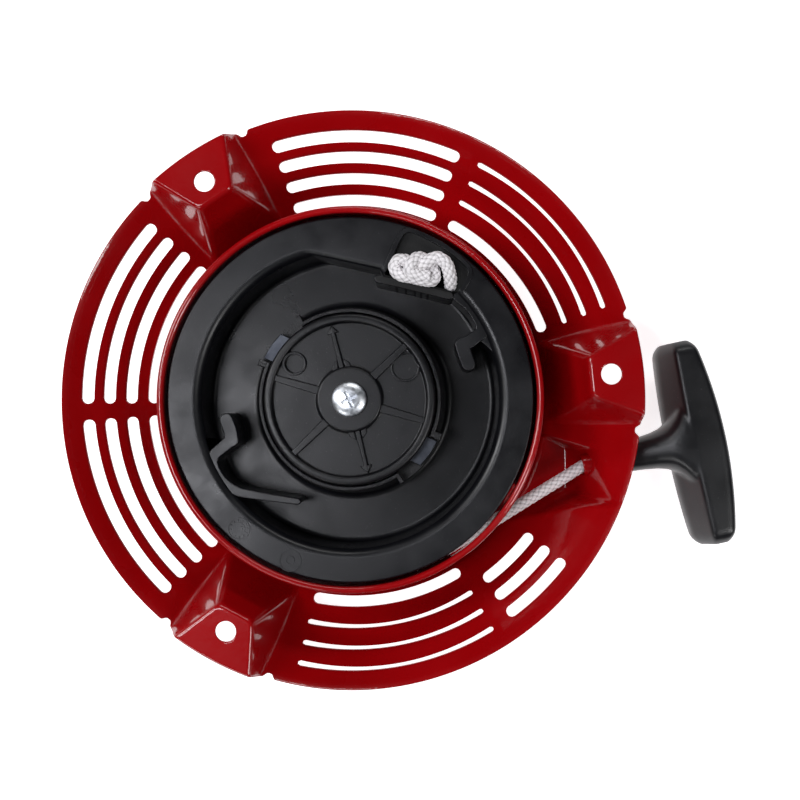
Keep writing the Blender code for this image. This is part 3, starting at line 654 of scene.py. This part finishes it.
def hook_plans():
    """Outlines of the two hooked ribs that stand in the reel's recess."""
    left = [ribbon_plan([(-43.3, -4.2), (-42.2, -8.0), (-41.9, -11.4)], (2.3, 2.4)),
            ribbon_plan([(-42.2, -11.4), (-44.6, -13.2), (-47.6, -15.4)], (2.2, 2.0)),
            ribbon_plan([(-47.7, -15.2), (-49.0, -18.2), (-47.9, -22.3), (-45.2, -26.2), (-41.0, -29.2),
                         (-36.2, -30.6), (-30.4, -31.9), (-20.6, -34.0)], (1.9, 1.8, 1.6, 1.3, 1.15)),
            ribbon_plan([(-48.2, -14.6), (-50.6, -11.8), (-52.4, -9.6)], (1.8, 1.0))]
    right = [ribbon_plan([(41.6, 9.6), (40.7, 12.6), (39.9, 15.8)], (2.4, 2.5)),
             ribbon_plan([(39.7, 16.4), (42.6, 17.4), (46.0, 19.8)], (2.4, 2.2)),
             ribbon_plan([(46.4, 19.6), (47.0, 22.6), (45.2, 26.8), (42.6, 30.1), (39.2, 33.0)],
                         (2.3, 2.0, 1.6)),
             ribbon_plan([(47.4, 18.8), (50.2, 15.2), (52.4, 11.4)], (1.9, 1.0))]
    return left, right


def pocket_frame():
    """Middle line of the raised border round the knot's pocket."""
    return [(15.3, 44.4), (18.0, 50.0), (20.7, 54.9), (22.6, 56.8), (25.4, 56.6), (31.0, 53.7), (36.2, 50.4),
            (41.0, 46.0), (43.8, 42.6), (44.2, 40.6), (42.8, 37.8), (40.8, 35.0)]


def make_reel(mat, grainy, painted_shade_black):
    body = [(6.9, 36.0), (11.0, 36.0), (11.0, 34.0), (HUB_INNER, 34.0), (HUB_INNER, HUB_TOP),
            (HUB_TOP_RADIUS, HUB_TOP), (HUB_RADIUS + 0.3, RECESS_FLOOR), (RECESS_RADIUS - 0.6, RECESS_FLOOR),
            (RECESS_RADIUS, 38.8), (RECESS_RADIUS + 1.0, REEL_TOP), (REEL_RADIUS, REEL_TOP),
            (REEL_RADIUS, 38.6), (GROOVE_RADIUS, 38.6), (GROOVE_RADIUS, 18.3), (REEL_RADIUS, 18.3),
            (REEL_RADIUS, 15.8), (52.0, 15.8), (52.0, 4.0), (50.0, 4.0), (50.0, 15.0), (30.5, 15.0),
            (30.5, 31.4), (9.6, 31.4), (9.6, 15.0), (6.9, 15.0)]
    sizes = [0.0, 0.3, 0.0, 0.0, 0.5, 0.6, 2.2, 1.8, 0.0, 2.3, 0.7, 0.4, 0.0, 0.0, 0.4, 0.4] + [0.0] * 9
    reel = turned("reel_body", fillet(body, sizes, 6), 256)

    wall = [(-16.0, 50.9), (-10.5, 51.0), (-4.0, 49.2), (13.0, 44.3), (14.4, 41.4), (36.4, 34.8),
            (39.4, 34.5)]
    parts = [prism("knot_wall", wall + arc(53.4, 42.5, 106.0, 12), RECESS_FLOOR - 1.0, 40.1, 0.4),
             prism("knot_wall_top", wall + arc(57.0, 42.0, 106.5, 12), 38.9, REEL_TOP - 0.01, 1.7)]
    parts.append(prism("ledge", ribbon_plan([(12.2, 41.1), (24.0, 37.6), (36.6, 33.6)], (1.35, 1.4)),
                       RECESS_FLOOR - 1.0, RIB_TOP + 0.3, 0.45))
    for side, plans in zip(("left", "right"), hook_plans()):
        for number, plan in enumerate(plans, 1):
            top = RIB_TOP - 0.03 * number if number < 4 else RIB_TOP - 0.5
            parts.append(prism(f"hook_{side}_{number}", plan, RECESS_FLOOR - 1.0, top, 0.45))
    for number in range(2):
        plan = arc(34.0, 156.0, 117.0, 10) + arc(30.6, 117.0, 156.0, 10)
        parts.append(prism(f"window_frame_{number}", turn_plan(plan, 180.0 * number), RECESS_FLOOR - 1.0,
                           HUB_TOP - 0.04, 0.5))
    parts.append(prism("pocket_border", ribbon_plan(pocket_frame(), (1.0, 0.9)), 39.6, REEL_TOP + 0.4, 0.3))
    combine(reel, parts, "UNION")

    inside = [Vector(p) for p in smooth_path(pocket_frame(), 1.2)]
    centre = Vector((29.0, 44.0))
    pocket = [tuple(p + (centre - p).normalized() * 0.75) for p in inside]
    pocket += [(38.0, 34.9), (25.0, 39.0), (13.6, 42.3)]
    deep = arc(53.0, 68.0, 45.0, 8) + [(37.6, 35.4), (25.0, 39.2), (14.6, 42.4), (16.2, 46.0)]
    cutters = [prism("pocket_seat", pocket, 39.3, 50.0), prism("pocket_deep", deep, 27.0, 50.0)]
    for number in range(2):
        start, end = (angle + 180.0 * number for angle in WINDOW_ANGLES)
        plan = arc(HUB_RADIUS + 3.0, start, end, 5) + arc(HUB_INNER - 2.0, end, start, 5)
        cutters.append(prism(f"pawl_window_{number + 1}", plan, 34.0, HUB_TOP + 4.0))
    combine(reel, cutters)

    marks = [turned("dial_ring", [(3.9, 41.3), (3.9, 41.9), (3.45, 41.9), (3.45, 41.3)], 48),
             turned("dial_hub", [(0.0, 41.3), (2.2, 41.3), (2.2, 41.75), (0.0, 41.75)], 32)]
    tick_plan = [(2.5, -0.16), (3.25, -0.16), (3.25, 0.16), (2.5, 0.16)]
    for tick in range(12):
        marks.append(prism(f"dial_tick_{tick}", turn_plan(tick_plan, 30.0 * tick), 41.3, 41.85))
    hand_plan = [(-1.7, -0.22), (1.0, -0.3), (1.0, -0.7), (1.9, 0.0), (1.0, 0.7), (1.0, 0.3), (-1.7, 0.22)]
    marks.append(prism("dial_hand", turn_plan(hand_plan, 20.0), 41.5, 42.1))
    for mark in marks:
        mark.location = Vector((*DIAL_PLACE, 0.0)) * MM
    for radius in (3.9, 1.6):
        plain = turned(f"plain_mark_{radius}", [(radius, 41.3), (radius, 41.85), (radius - 0.4, 41.85),
                                                (radius - 0.4, 41.3)], 48)
        plain.location = Vector((*PLAIN_MARK_PLACE, 0.0)) * MM
        marks.append(plain)
    for number in range(2):
        pin = turned(f"pawl_pin_{number}", fillet([(0.0, 33.0), (2.4, 33.0), (2.4, 42.4), (0.0, 42.4)],
                                                  (0.0, 0.0, 0.4, 0.0)), 32)
        pin.location = Vector((*polar(PAWL_PIVOT[0], PAWL_PIVOT[1] + 180.0 * number), 0.0)) * MM
        marks.append(pin)
    combine(reel, marks, "UNION")
    even_normals(dress(reel, "reel", "reel_plastic", mat, "reel"))
    reel.data.materials.append(grainy)
    reel.data.materials.append(painted_shade_black)
    # Faces inside the knot's pocket take the darkest black as painted shade; the hub's ring takes the grainy
    # black.
    for face in reel.data.polygons:
        centre = face.center / MM
        if 27.5 < centre.z < 41.0 and 15.0 < centre.x < 44.0 and centre.y > 34.5 and centre.length < 72.0:
            face.material_index = 2
        if HUB_INNER - 0.3 < math.hypot(centre.x, centre.y) < HUB_RADIUS + 0.8 and centre.z > 22.0:
            face.material_index = 1


def make_pawls(mat):
    px, py = polar(*PAWL_PIVOT)
    boss = 4.9
    tip_out, tip_in = HUB_RADIUS - 0.1, HUB_INNER - 2.6
    outline = [polar(tip_out, PAWL_TIP_ANGLE), polar(tip_in, PAWL_TIP_ANGLE - 0.6), polar(23.5, 140.0),
               polar(19.8, 128.0)]
    outline += [(px + boss * math.cos(math.radians(a)), py + boss * math.sin(math.radians(a)))
                for a in range(220, 461, 12)]
    outline += [polar(27.9, 112.0), polar(27.0, 122.0), polar(28.6, 130.0), polar(tip_out, 133.0),
                polar(tip_out, 142.0)]
    for number, body in enumerate(("pawl_a", "pawl_b"), 1):
        turn = 180.0 * (number - 1)
        pawl = prism(f"pawl_body_{number}", turn_plan(outline, turn), 34.4, 39.6, 0.35)
        hole = prism("pawl_hole", circle(2.7, polar(PAWL_PIVOT[0], PAWL_PIVOT[1] + turn), 32), 30.0, 45.0)
        combine(pawl, [hole])
        even_normals(dress(pawl, body, "pawl_steel", mat, f"pawl_{number}"))


def make_guide(mat):
    profile = [(3.35, GUIDE_TOP), (11.0, GUIDE_TOP), (11.5, GUIDE_WEB), (26.2, GUIDE_WEB),
               (26.6, GUIDE_TOP - 0.2), (GUIDE_RADIUS - 0.2, GUIDE_TOP - 0.2), (GUIDE_RADIUS, GUIDE_LOW),
               (9.6, GUIDE_LOW), (9.6, 41.6), (3.35, 41.6)]
    guide = turned("guide_body", fillet(profile, (0.3, 0.7, 0.5, 0.4, 0.7, 1.3, 0.4, 0.0, 0.0, 0.0), 5), 192)
    parts = []
    for number in range(6):
        angle = SPOKE_PHASE + 60.0 * number
        arrow = number % 3 == 1
        if arrow:
            plan = [(10.6, -0.95), (23.2, -0.7), (23.2, -2.0), (26.0, 0.0), (23.2, 2.0), (23.2, 0.7),
                    (10.6, 0.95)]
            for side in (-1, 1):
                barb = [(11.0, side * 1.2), (14.2, side * 1.0), (12.4, side * 3.0), (10.6, side * 3.2)]
                barb = barb if side > 0 else barb[::-1]
                parts.append(prism(f"barb_{number}_{side}", turn_plan(barb, angle), 44.6, 45.75, 0.2))
        else:
            plan = [(10.6, -1.5), (27.2, -1.1), (27.2, 1.1), (10.6, 1.5)]
        parts.append(prism(f"spoke_{number}", turn_plan(plan, angle), 44.6, 46.35 if arrow else 46.2, 0.35))
    for radius, angle, size, high in ((22.5, 143.3, 4.1, 46.1), (22.0, 26.3, 5.1, 45.5)):
        section = [(size, 44.6), (size, high), (size - 0.9, high), (size - 0.9, 44.6)]
        boss = turned(f"boss_{angle}", fillet(section, (0.0, 0.3, 0.3, 0.0)), 48)
        boss.location = Vector((*polar(radius, angle), 0.0)) * MM
        parts.append(boss)
    combine(guide, parts, "UNION")
    dimple = turned("dimple", [(0.0, 43.9), (3.0, 43.9), (3.1, 46.0), (0.0, 46.0)], 40)
    dimple.location = Vector((*polar(22.5, 143.3), 0.0)) * MM
    combine(guide, [dimple])
    even_normals(dress(guide, "guide", "guide_plastic", mat, "ratchet_guide"))


def make_screw(mat):
    seat = GUIDE_TOP + 0.3
    head = [(0.0, seat + 3.0), (4.4, seat + 2.75), (SCREW_HEAD, seat + 1.6), (SCREW_HEAD, seat)]
    profile = fillet(head + [(3.0, seat), (3.0, 15.0), (2.2, 14.2), (0.0, 14.2)],
                     (0.0, 1.6, 0.5, 0.3, 0.0, 0.0, 0.0, 0.0), 6)
    screw = turned("screw_body", profile, 96)
    cutters = []
    for turn in (22.0, 112.0):
        cross = [(-2.9, -0.55), (2.9, -0.55), (2.9, 0.55), (-2.9, 0.55)]
        cutters.append(prism(f"cross_{turn}", turn_plan(cross, turn), seat + 1.1, seat + 5.0))
    cutters.append(turned("cross_middle", [(0.0, seat + 0.8), (0.6, seat + 0.9), (1.7, seat + 3.5),
                                           (0.0, seat + 3.5)], 4))
    combine(screw, cutters)
    even_normals(dress(screw, "case", "screw_zinc", mat, "setting_screw"))


# ---------------------------------------------------------------- rope

def braid(name, path, radius=ROPE_RADIUS, around=48, strands=6, lay=17.0, relief=0.5):
    """Braided rope along a path: two families of strands that pass over and under each other."""
    points = [Vector(p) for p in path]
    length = 0.0
    lengths = [0.0]
    for a, b in zip(points, points[1:]):
        length += (b - a).length
        lengths.append(length)
    tangents = [(points[min(i + 1, len(points) - 1)] - points[max(i - 1, 0)]).normalized()
                for i in range(len(points))]
    side = tangents[0].orthogonal().normalized()
    bm = bmesh.new()
    heights = bm.verts.layers.float.new("relief")
    uv = bm.loops.layers.uv.new("UVMap")
    rings = []
    for point, along, distance in zip(points, tangents, lengths):
        side = (side - along * side.dot(along)).normalized()
        up = along.cross(side)
        ring = []
        for k in range(around):
            angle = 2 * math.pi * k / around
            a = (angle + 2 * math.pi * distance / lay) * strands / 2
            b = (angle - 2 * math.pi * distance / lay) * strands / 2
            over = 0.5 + 0.5 * math.tanh(3.0 * math.cos(a) * math.cos(b))
            height = over * abs(math.cos(a)) ** 0.7 + (1 - over) * abs(math.cos(b)) ** 0.7
            reach = radius - relief + relief * height
            vert = bm.verts.new((point + side * reach * math.cos(angle) + up * reach * math.sin(angle)) * MM)
            # The stored height also drives the painted shade in the rope's grooves.
            vert[heights] = height
            ring.append(vert)
        rings.append(ring)
    for i, (a, b) in enumerate(zip(rings, rings[1:])):
        for k in range(around):
            j = (k + 1) % around
            face = bm.faces.new((a[k], a[j], b[j], b[k]))
            for loop, u, v in zip(face.loops, (k, k + 1, k + 1, k), (i, i, i + 1, i + 1)):
                loop[uv].uv = (u / around, lengths[v] * MM)
    for ring, along in ((rings[0], -tangents[0]), (rings[-1], tangents[-1])):
        middle = sum((v.co for v in ring), Vector()) / around
        tip = bm.verts.new(middle + along * radius * 0.35 * MM)
        inner = [bm.verts.new(middle + (v.co - middle) * 0.7 + along * radius * 0.25 * MM) for v in ring]
        for k in range(around):
            j = (k + 1) % around
            bm.faces.new((ring[k], ring[j], inner[j], inner[k]))
            bm.faces.new((inner[k], inner[j], tip))
    return from_bmesh(name, bm, 180.0)


def pull_point(distance, side=0.0, height=0.0):
    """A point measured along the pull direction from the outlet."""
    ox, oy = polar(1.0, PULL_ANGLE)
    return OUTLET + Vector((ox * distance - oy * side, oy * distance + ox * side, height))


def along_pull_matrix(distance):
    """Places a piece that was modelled along Z onto the pull line."""
    turn = Matrix.Rotation(math.radians(PULL_ANGLE), 4, "Z") @ Matrix.Rotation(math.radians(90.0), 4, "Y")
    return Matrix.Translation(pull_point(distance) * MM) @ turn


def make_ropes(mat, plain):
    wound = GROOVE_RADIUS + 0.45 + ROPE_RADIUS
    leaves = wound + 2 * ROPE_RADIUS + 0.3
    reach = math.hypot(OUTLET.x, OUTLET.y)
    heading = math.degrees(math.asin(leaves / reach) + math.atan2(OUTLET.y, OUTLET.x))
    foot = heading - 90.0
    fx, fy = polar(leaves, foot)
    dx, dy = polar(1.0, heading)
    x, y, z = OUTLET
    ox, oy = polar(1.0, PULL_ANGLE)
    lead = [(*polar(leaves, foot - 16.0), LEAD_HEIGHT), (*polar(leaves, foot - 8.0), LEAD_HEIGHT),
            (fx, fy, LEAD_HEIGHT), (fx + dx * 20, fy + dy * 20, 31.0), (x - dx * 20, y - dy * 20, 23.4),
            (x - dx * 8, y - dy * 8, 19.6), (x - ox * 0.5, y - oy * 0.5, z), (x + ox * 2.6, y + oy * 2.6, z)]
    rope = braid("rope_lead_braid", smooth_path(lead, 0.3))
    dress(rope, "case", "rope_nylon", mat, "rope_lead")

    knot = [(37.3, 35.6, 33.0), (37.2, 37.4, 39.2), (37.1, 40.4, 42.4), (36.0, 44.4, 44.0),
            (33.0, 46.5, 44.6), (29.6, 45.4, 44.4), (26.4, 44.2, 43.4), (22.8, 46.2, 42.8),
            (19.6, 46.6, 42.4), (18.3, 44.0, 42.3), (20.2, 41.7, 42.8), (24.0, 40.6, 43.2),
            (28.0, 39.4, 43.4), (31.0, 39.2, 42.4), (31.8, 41.6, 41.6), (30.4, 45.0, 41.6),
            (27.2, 47.0, 43.2), (24.2, 45.4, 45.0), (23.6, 42.6, 45.0), (26.6, 40.8, 44.6),
            (29.8, 40.2, 44.2)]
    knot = braid("reel_knot_braid", smooth_path(knot, 0.3), 2.35, lay=15.0, relief=0.6)
    dress(knot, "reel", "rope_nylon", mat, "reel_knot")

    near = [pull_point(3.2), pull_point(11.0)]
    steps = 160
    path = [near[0].lerp(near[1], i / steps) for i in range(steps + 1)]
    path += smooth_path([pull_point(11.3), pull_point(24.0), pull_point(KNOT_SEAT + 1.0)], 0.4)
    rope = braid("handle_rope_braid", path, 2.15)
    rope.data.materials.append(mat)
    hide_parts("handle_rope")
    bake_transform(rope)

    coil = []
    for i in range(END_KNOT_STEPS + 1):
        side, height = polar(END_KNOT_RADIUS, 720.0 * i / END_KNOT_STEPS)
        coil.append(pull_point(KNOT_SEAT + 2.9 + 4.2 * i / END_KNOT_STEPS, side, height))
    end_knot = braid("handle_knot_braid", coil, 2.2, lay=12.0)
    dress(end_knot, "rope_end", "rope_nylon", mat, "handle_knot")
    finish_node("rope_wound", plain)


# ---------------------------------------------------------------- handle

def loft(name, *bodies):
    """Closed bodies, each through equal rings of points, in one mesh."""
    bm = bmesh.new()
    for sections in bodies:
        rings = [[bm.verts.new(Vector(p) * MM) for p in section] for section in sections]
        count = len(rings[0])
        for a, b in zip(rings, rings[1:]):
            for k in range(count):
                j = (k + 1) % count
                bm.faces.new((a[k], a[j], b[j], b[k]))
        bm.faces.new(rings[0][::-1])
        bm.faces.new(rings[-1])
    return from_bmesh(name, bm)


def superellipse(half_a, half_b, power, count=64):
    points = []
    for k in range(count):
        angle = 2 * math.pi * k / count
        c, s = math.cos(angle), math.sin(angle)
        points.append((half_a * math.copysign(abs(c) ** (2 / power), c),
                       half_b * math.copysign(abs(s) ** (2 / power), s)))
    return points


def bar_section(share):
    """Section of the grip at a share of its half length, as (distance, height).

    Its top and bottom are flat, it swells towards the stem at middle height and its back is bowed.
    """
    across = abs(share)
    back = 46.8 + 4.2 * (1.0 - share * share)
    ridge = 37.4 + 0.6 * across
    bulge = 30.8 + 2.0 * across ** 2
    half = GRIP_HALF_DEPTH
    corners = [(ridge, half), (back - 1.8, half), (back, 2.5), (back, -2.5), (back - 1.8, -half),
               (bulge + 1.0, -half), (bulge, -7.0), (bulge, -1.0)]
    outline = fillet(corners, (1.3, 1.9, 2.5, 2.5, 1.9, 1.0, 2.0, 2.4), 7)
    end = max(0.0, (across - 0.86) / 0.14)
    shrink = 1.0 - 0.34 * end ** 2.6
    middle = (back + bulge) / 2
    return [(middle + (u - middle) * shrink, z * shrink) for u, z in outline]


def make_handle(mat):
    shares = [math.sin(math.radians(a)) for a in np.linspace(-90.0, 90.0, 73)]
    bar = [[pull_point(u, GRIP_HALF_LENGTH * share, z) for u, z in bar_section(share)] for share in shares]
    sizes = ((6.8, 4.6, 4.6), (7.4, 5.2, 5.2), (14.0, 5.5, 5.7), (20.0, 5.9, 6.7), (25.0, 6.5, 8.0),
             (28.5, 7.4, 9.2), (31.0, 8.8, 10.0), (33.5, 11.4, 10.5), (36.0, 15.0, 10.8), (39.5, 19.0, 10.9))
    distances = np.linspace(6.8, 39.5, 64)
    table = np.array(sizes)
    stem = []
    for distance in distances:
        wide = np.interp(distance, table[:, 0], table[:, 1])
        high = np.interp(distance, table[:, 0], table[:, 2])
        power = float(np.interp(distance, (6.8, 30.0, 39.5), (2.2, 2.6, 4.0)))
        stem.append([pull_point(distance, a, b) for a, b in superellipse(wide, high, power)])
    grip = loft("grip", bar, stem)
    remesh = grip.modifiers.new("Skin", "REMESH")
    remesh.mode = "VOXEL"
    remesh.voxel_size = 0.55 * MM
    smooth = grip.modifiers.new("Blend", "SMOOTH")
    smooth.iterations = 6
    smooth.factor = 0.5
    combine(grip, [])
    hole = turned("rope_bore", [(0.0, -2.0), (3.3, -2.0), (3.3, 7.4), (2.5, 8.6), (2.5, KNOT_SEAT + 1.0),
                                (0.0, KNOT_SEAT + 1.0)], 48)
    hole.matrix_world = along_pull_matrix(0.0)
    pocket = turned("knot_pocket", [(0.0, KNOT_SEAT), (6.2, KNOT_SEAT), (6.2, 49.6), (7.4, 51.4), (7.4, 60.0),
                                    (0.0, 60.0)], 64)
    pocket.matrix_world = along_pull_matrix(0.0)
    combine(grip, [hole, pocket], sharp=42.0)
    dress(grip, "grip", "handle_plastic", mat, "handle")


def finish_node(node, mat):
    """A CAD node that keeps its shape gets its material."""
    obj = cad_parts[node]
    obj.data.materials.clear()
    obj.data.materials.append(mat)


# ---------------------------------------------------------------- studio

# The camera was fitted to the photograph; these are in metres.
CAMERA_LENS = 62.56
CAMERA_PLACE = (0.02303, -0.00651, 0.52044)
CAMERA_RIGHT = Vector((0.997812, -0.064841, -0.012948))
CAMERA_UP = Vector((0.064974, 0.997836, 0.010096))
# Name, place, target, size, power and colour; lengths in metres.
SOFTBOXES = (
    ("top_left", (-0.20, -0.03, 0.70), (-0.06, 0.0, 0.03), (0.12, 0.20), 1.2, (0.93, 0.94, 1.0)),
    ("left", (-0.47, 0.18, 0.52), (-0.02, 0.0, 0.03), (0.22, 0.34), 2.3, (0.98, 0.98, 1.0)),
    ("right", (0.42, -0.26, 0.52), (0.02, 0.0, 0.03), (0.12, 0.36), 1.4, (1.0, 1.0, 1.0)),
    ("front_left", (-0.30, -0.52, 0.46), (0.0, 0.0, 0.03), (0.34, 0.12), 0.9, (1.0, 1.0, 1.0)),
    ("back", (0.16, 0.56, 0.46), (0.0, 0.0, 0.03), (0.46, 0.12), 1.1, (1.0, 1.0, 1.0)))
# The floor glows by FLOOR_GLOW near the object and less further out, between the two distances in metres.
FLOOR_GLOW = (0.80, 0.34)
FLOOR_GLOW_SPAN = (0.24, 0.45)


def make_camera():
    data = bpy.data.cameras.new("camera")
    data.lens = CAMERA_LENS
    data.sensor_width = 36.0
    data.clip_start = 0.01
    camera = bpy.data.objects.new("camera", data)
    bpy.context.scene.collection.objects.link(camera)
    right, up = CAMERA_RIGHT, CAMERA_UP
    back = right.cross(up)
    turn = Matrix((right, up, back)).transposed().to_4x4()
    camera.matrix_world = Matrix.Translation(CAMERA_PLACE) @ turn
    bpy.context.scene.camera = camera


def softbox(name, place, target, size, power, colour):
    data = bpy.data.lights.new(name, "AREA")
    data.shape = "RECTANGLE"
    data.size, data.size_y = size
    data.energy = power
    data.color = colour
    light = bpy.data.objects.new(name, data)
    bpy.context.scene.collection.objects.link(light)
    light.location = place
    light.rotation_euler = (Vector(target) - Vector(place)).to_track_quat("-Z", "Y").to_euler()


def make_studio():
    bm = bmesh.new()
    bmesh.ops.create_grid(bm, x_segments=1, y_segments=1, size=3.0)
    bmesh.ops.translate(bm, verts=bm.verts, vec=(0.0, 0.0, -0.0004))
    floor = from_bmesh("floor", bm)
    n = Nodes("floor_white", 0.6)
    n.shader.inputs["Base Color"].default_value = (0.9, 0.9, 0.9, 1.0)
    n.shader.inputs["Emission Color"].default_value = (1.0, 0.99, 1.0, 1.0)
    far = n.tree.nodes.new("ShaderNodeVectorMath")
    far.operation = "LENGTH"
    n.link(n.coords.outputs["Object"], far.inputs[0])
    n.plug(Emission_Strength=n.range(far.outputs["Value"], *FLOOR_GLOW, *FLOOR_GLOW_SPAN))
    floor.data.materials.append(n.mat)
    world = bpy.data.worlds.new("studio")
    world.use_nodes = True
    background = world.node_tree.nodes["Background"]
    background.inputs["Color"].default_value = (0.9, 0.93, 1.0, 1.0)
    background.inputs["Strength"].default_value = 0.03
    bpy.context.scene.world = world
    for box in SOFTBOXES:
        softbox(*box)
    bpy.context.scene.view_settings.view_transform = "Standard"


def main():
    make_camera()
    make_studio()
    red = paint("red_paint")
    make_case(red)
    make_cup(paint("cup_red_paint"))
    black = plastic("reel_black", (0.0028, 0.0029, 0.0040), (0.0048, 0.0050, 0.0068), 0.33, 0.10, 0.10)
    hub_black = plastic("hub_black", (0.0045, 0.0045, 0.0055), (0.0075, 0.0075, 0.0092), 0.33, 0.55, 0.15)
    # The darkest black is painted shade for the inside of the knot's pocket.
    shadow_black = plastic("pocket_painted_shade_black", (0.0012, 0.0012, 0.0014), (0.0022, 0.0022, 0.0026), 0.62, 0.3)
    make_reel(black, hub_black, shadow_black)
    make_pawls(metal("pawl_metal", (0.06, 0.065, 0.08), (0.11, 0.12, 0.14), 0.45))
    make_guide(plastic("guide_black", (0.0022, 0.0023, 0.0032), (0.0038, 0.0040, 0.0054), 0.36, 0.16, 0.14))
    make_screw(metal("zinc", (0.62, 0.66, 0.72), (0.84, 0.87, 0.90), 0.34, (1.0, 1.0, 0.2), 0.015))
    make_ropes(nylon("nylon_braid", True), nylon("nylon_plain", False))
    satin = plastic("handle_black", (0.0046, 0.0048, 0.0060), (0.0078, 0.0080, 0.0098), 0.35, 0.07, 0.10)
    make_handle(satin)
    finish_node("centre_post", metal("post_metal", (0.32, 0.32, 0.33), (0.45, 0.45, 0.46), 0.35))
    strip = metal("strip_steel", (0.10, 0.11, 0.13), (0.20, 0.21, 0.24), 0.3, (0.2, 0.2, 1.0))
    finish_node("recoil_spring", strip)
    wire = metal("wire_steel", (0.38, 0.38, 0.40), (0.52, 0.52, 0.54), 0.28)
    for node in ("friction_spring", "pawl_spring_1", "pawl_spring_2"):
        finish_node(node, wire)


main()
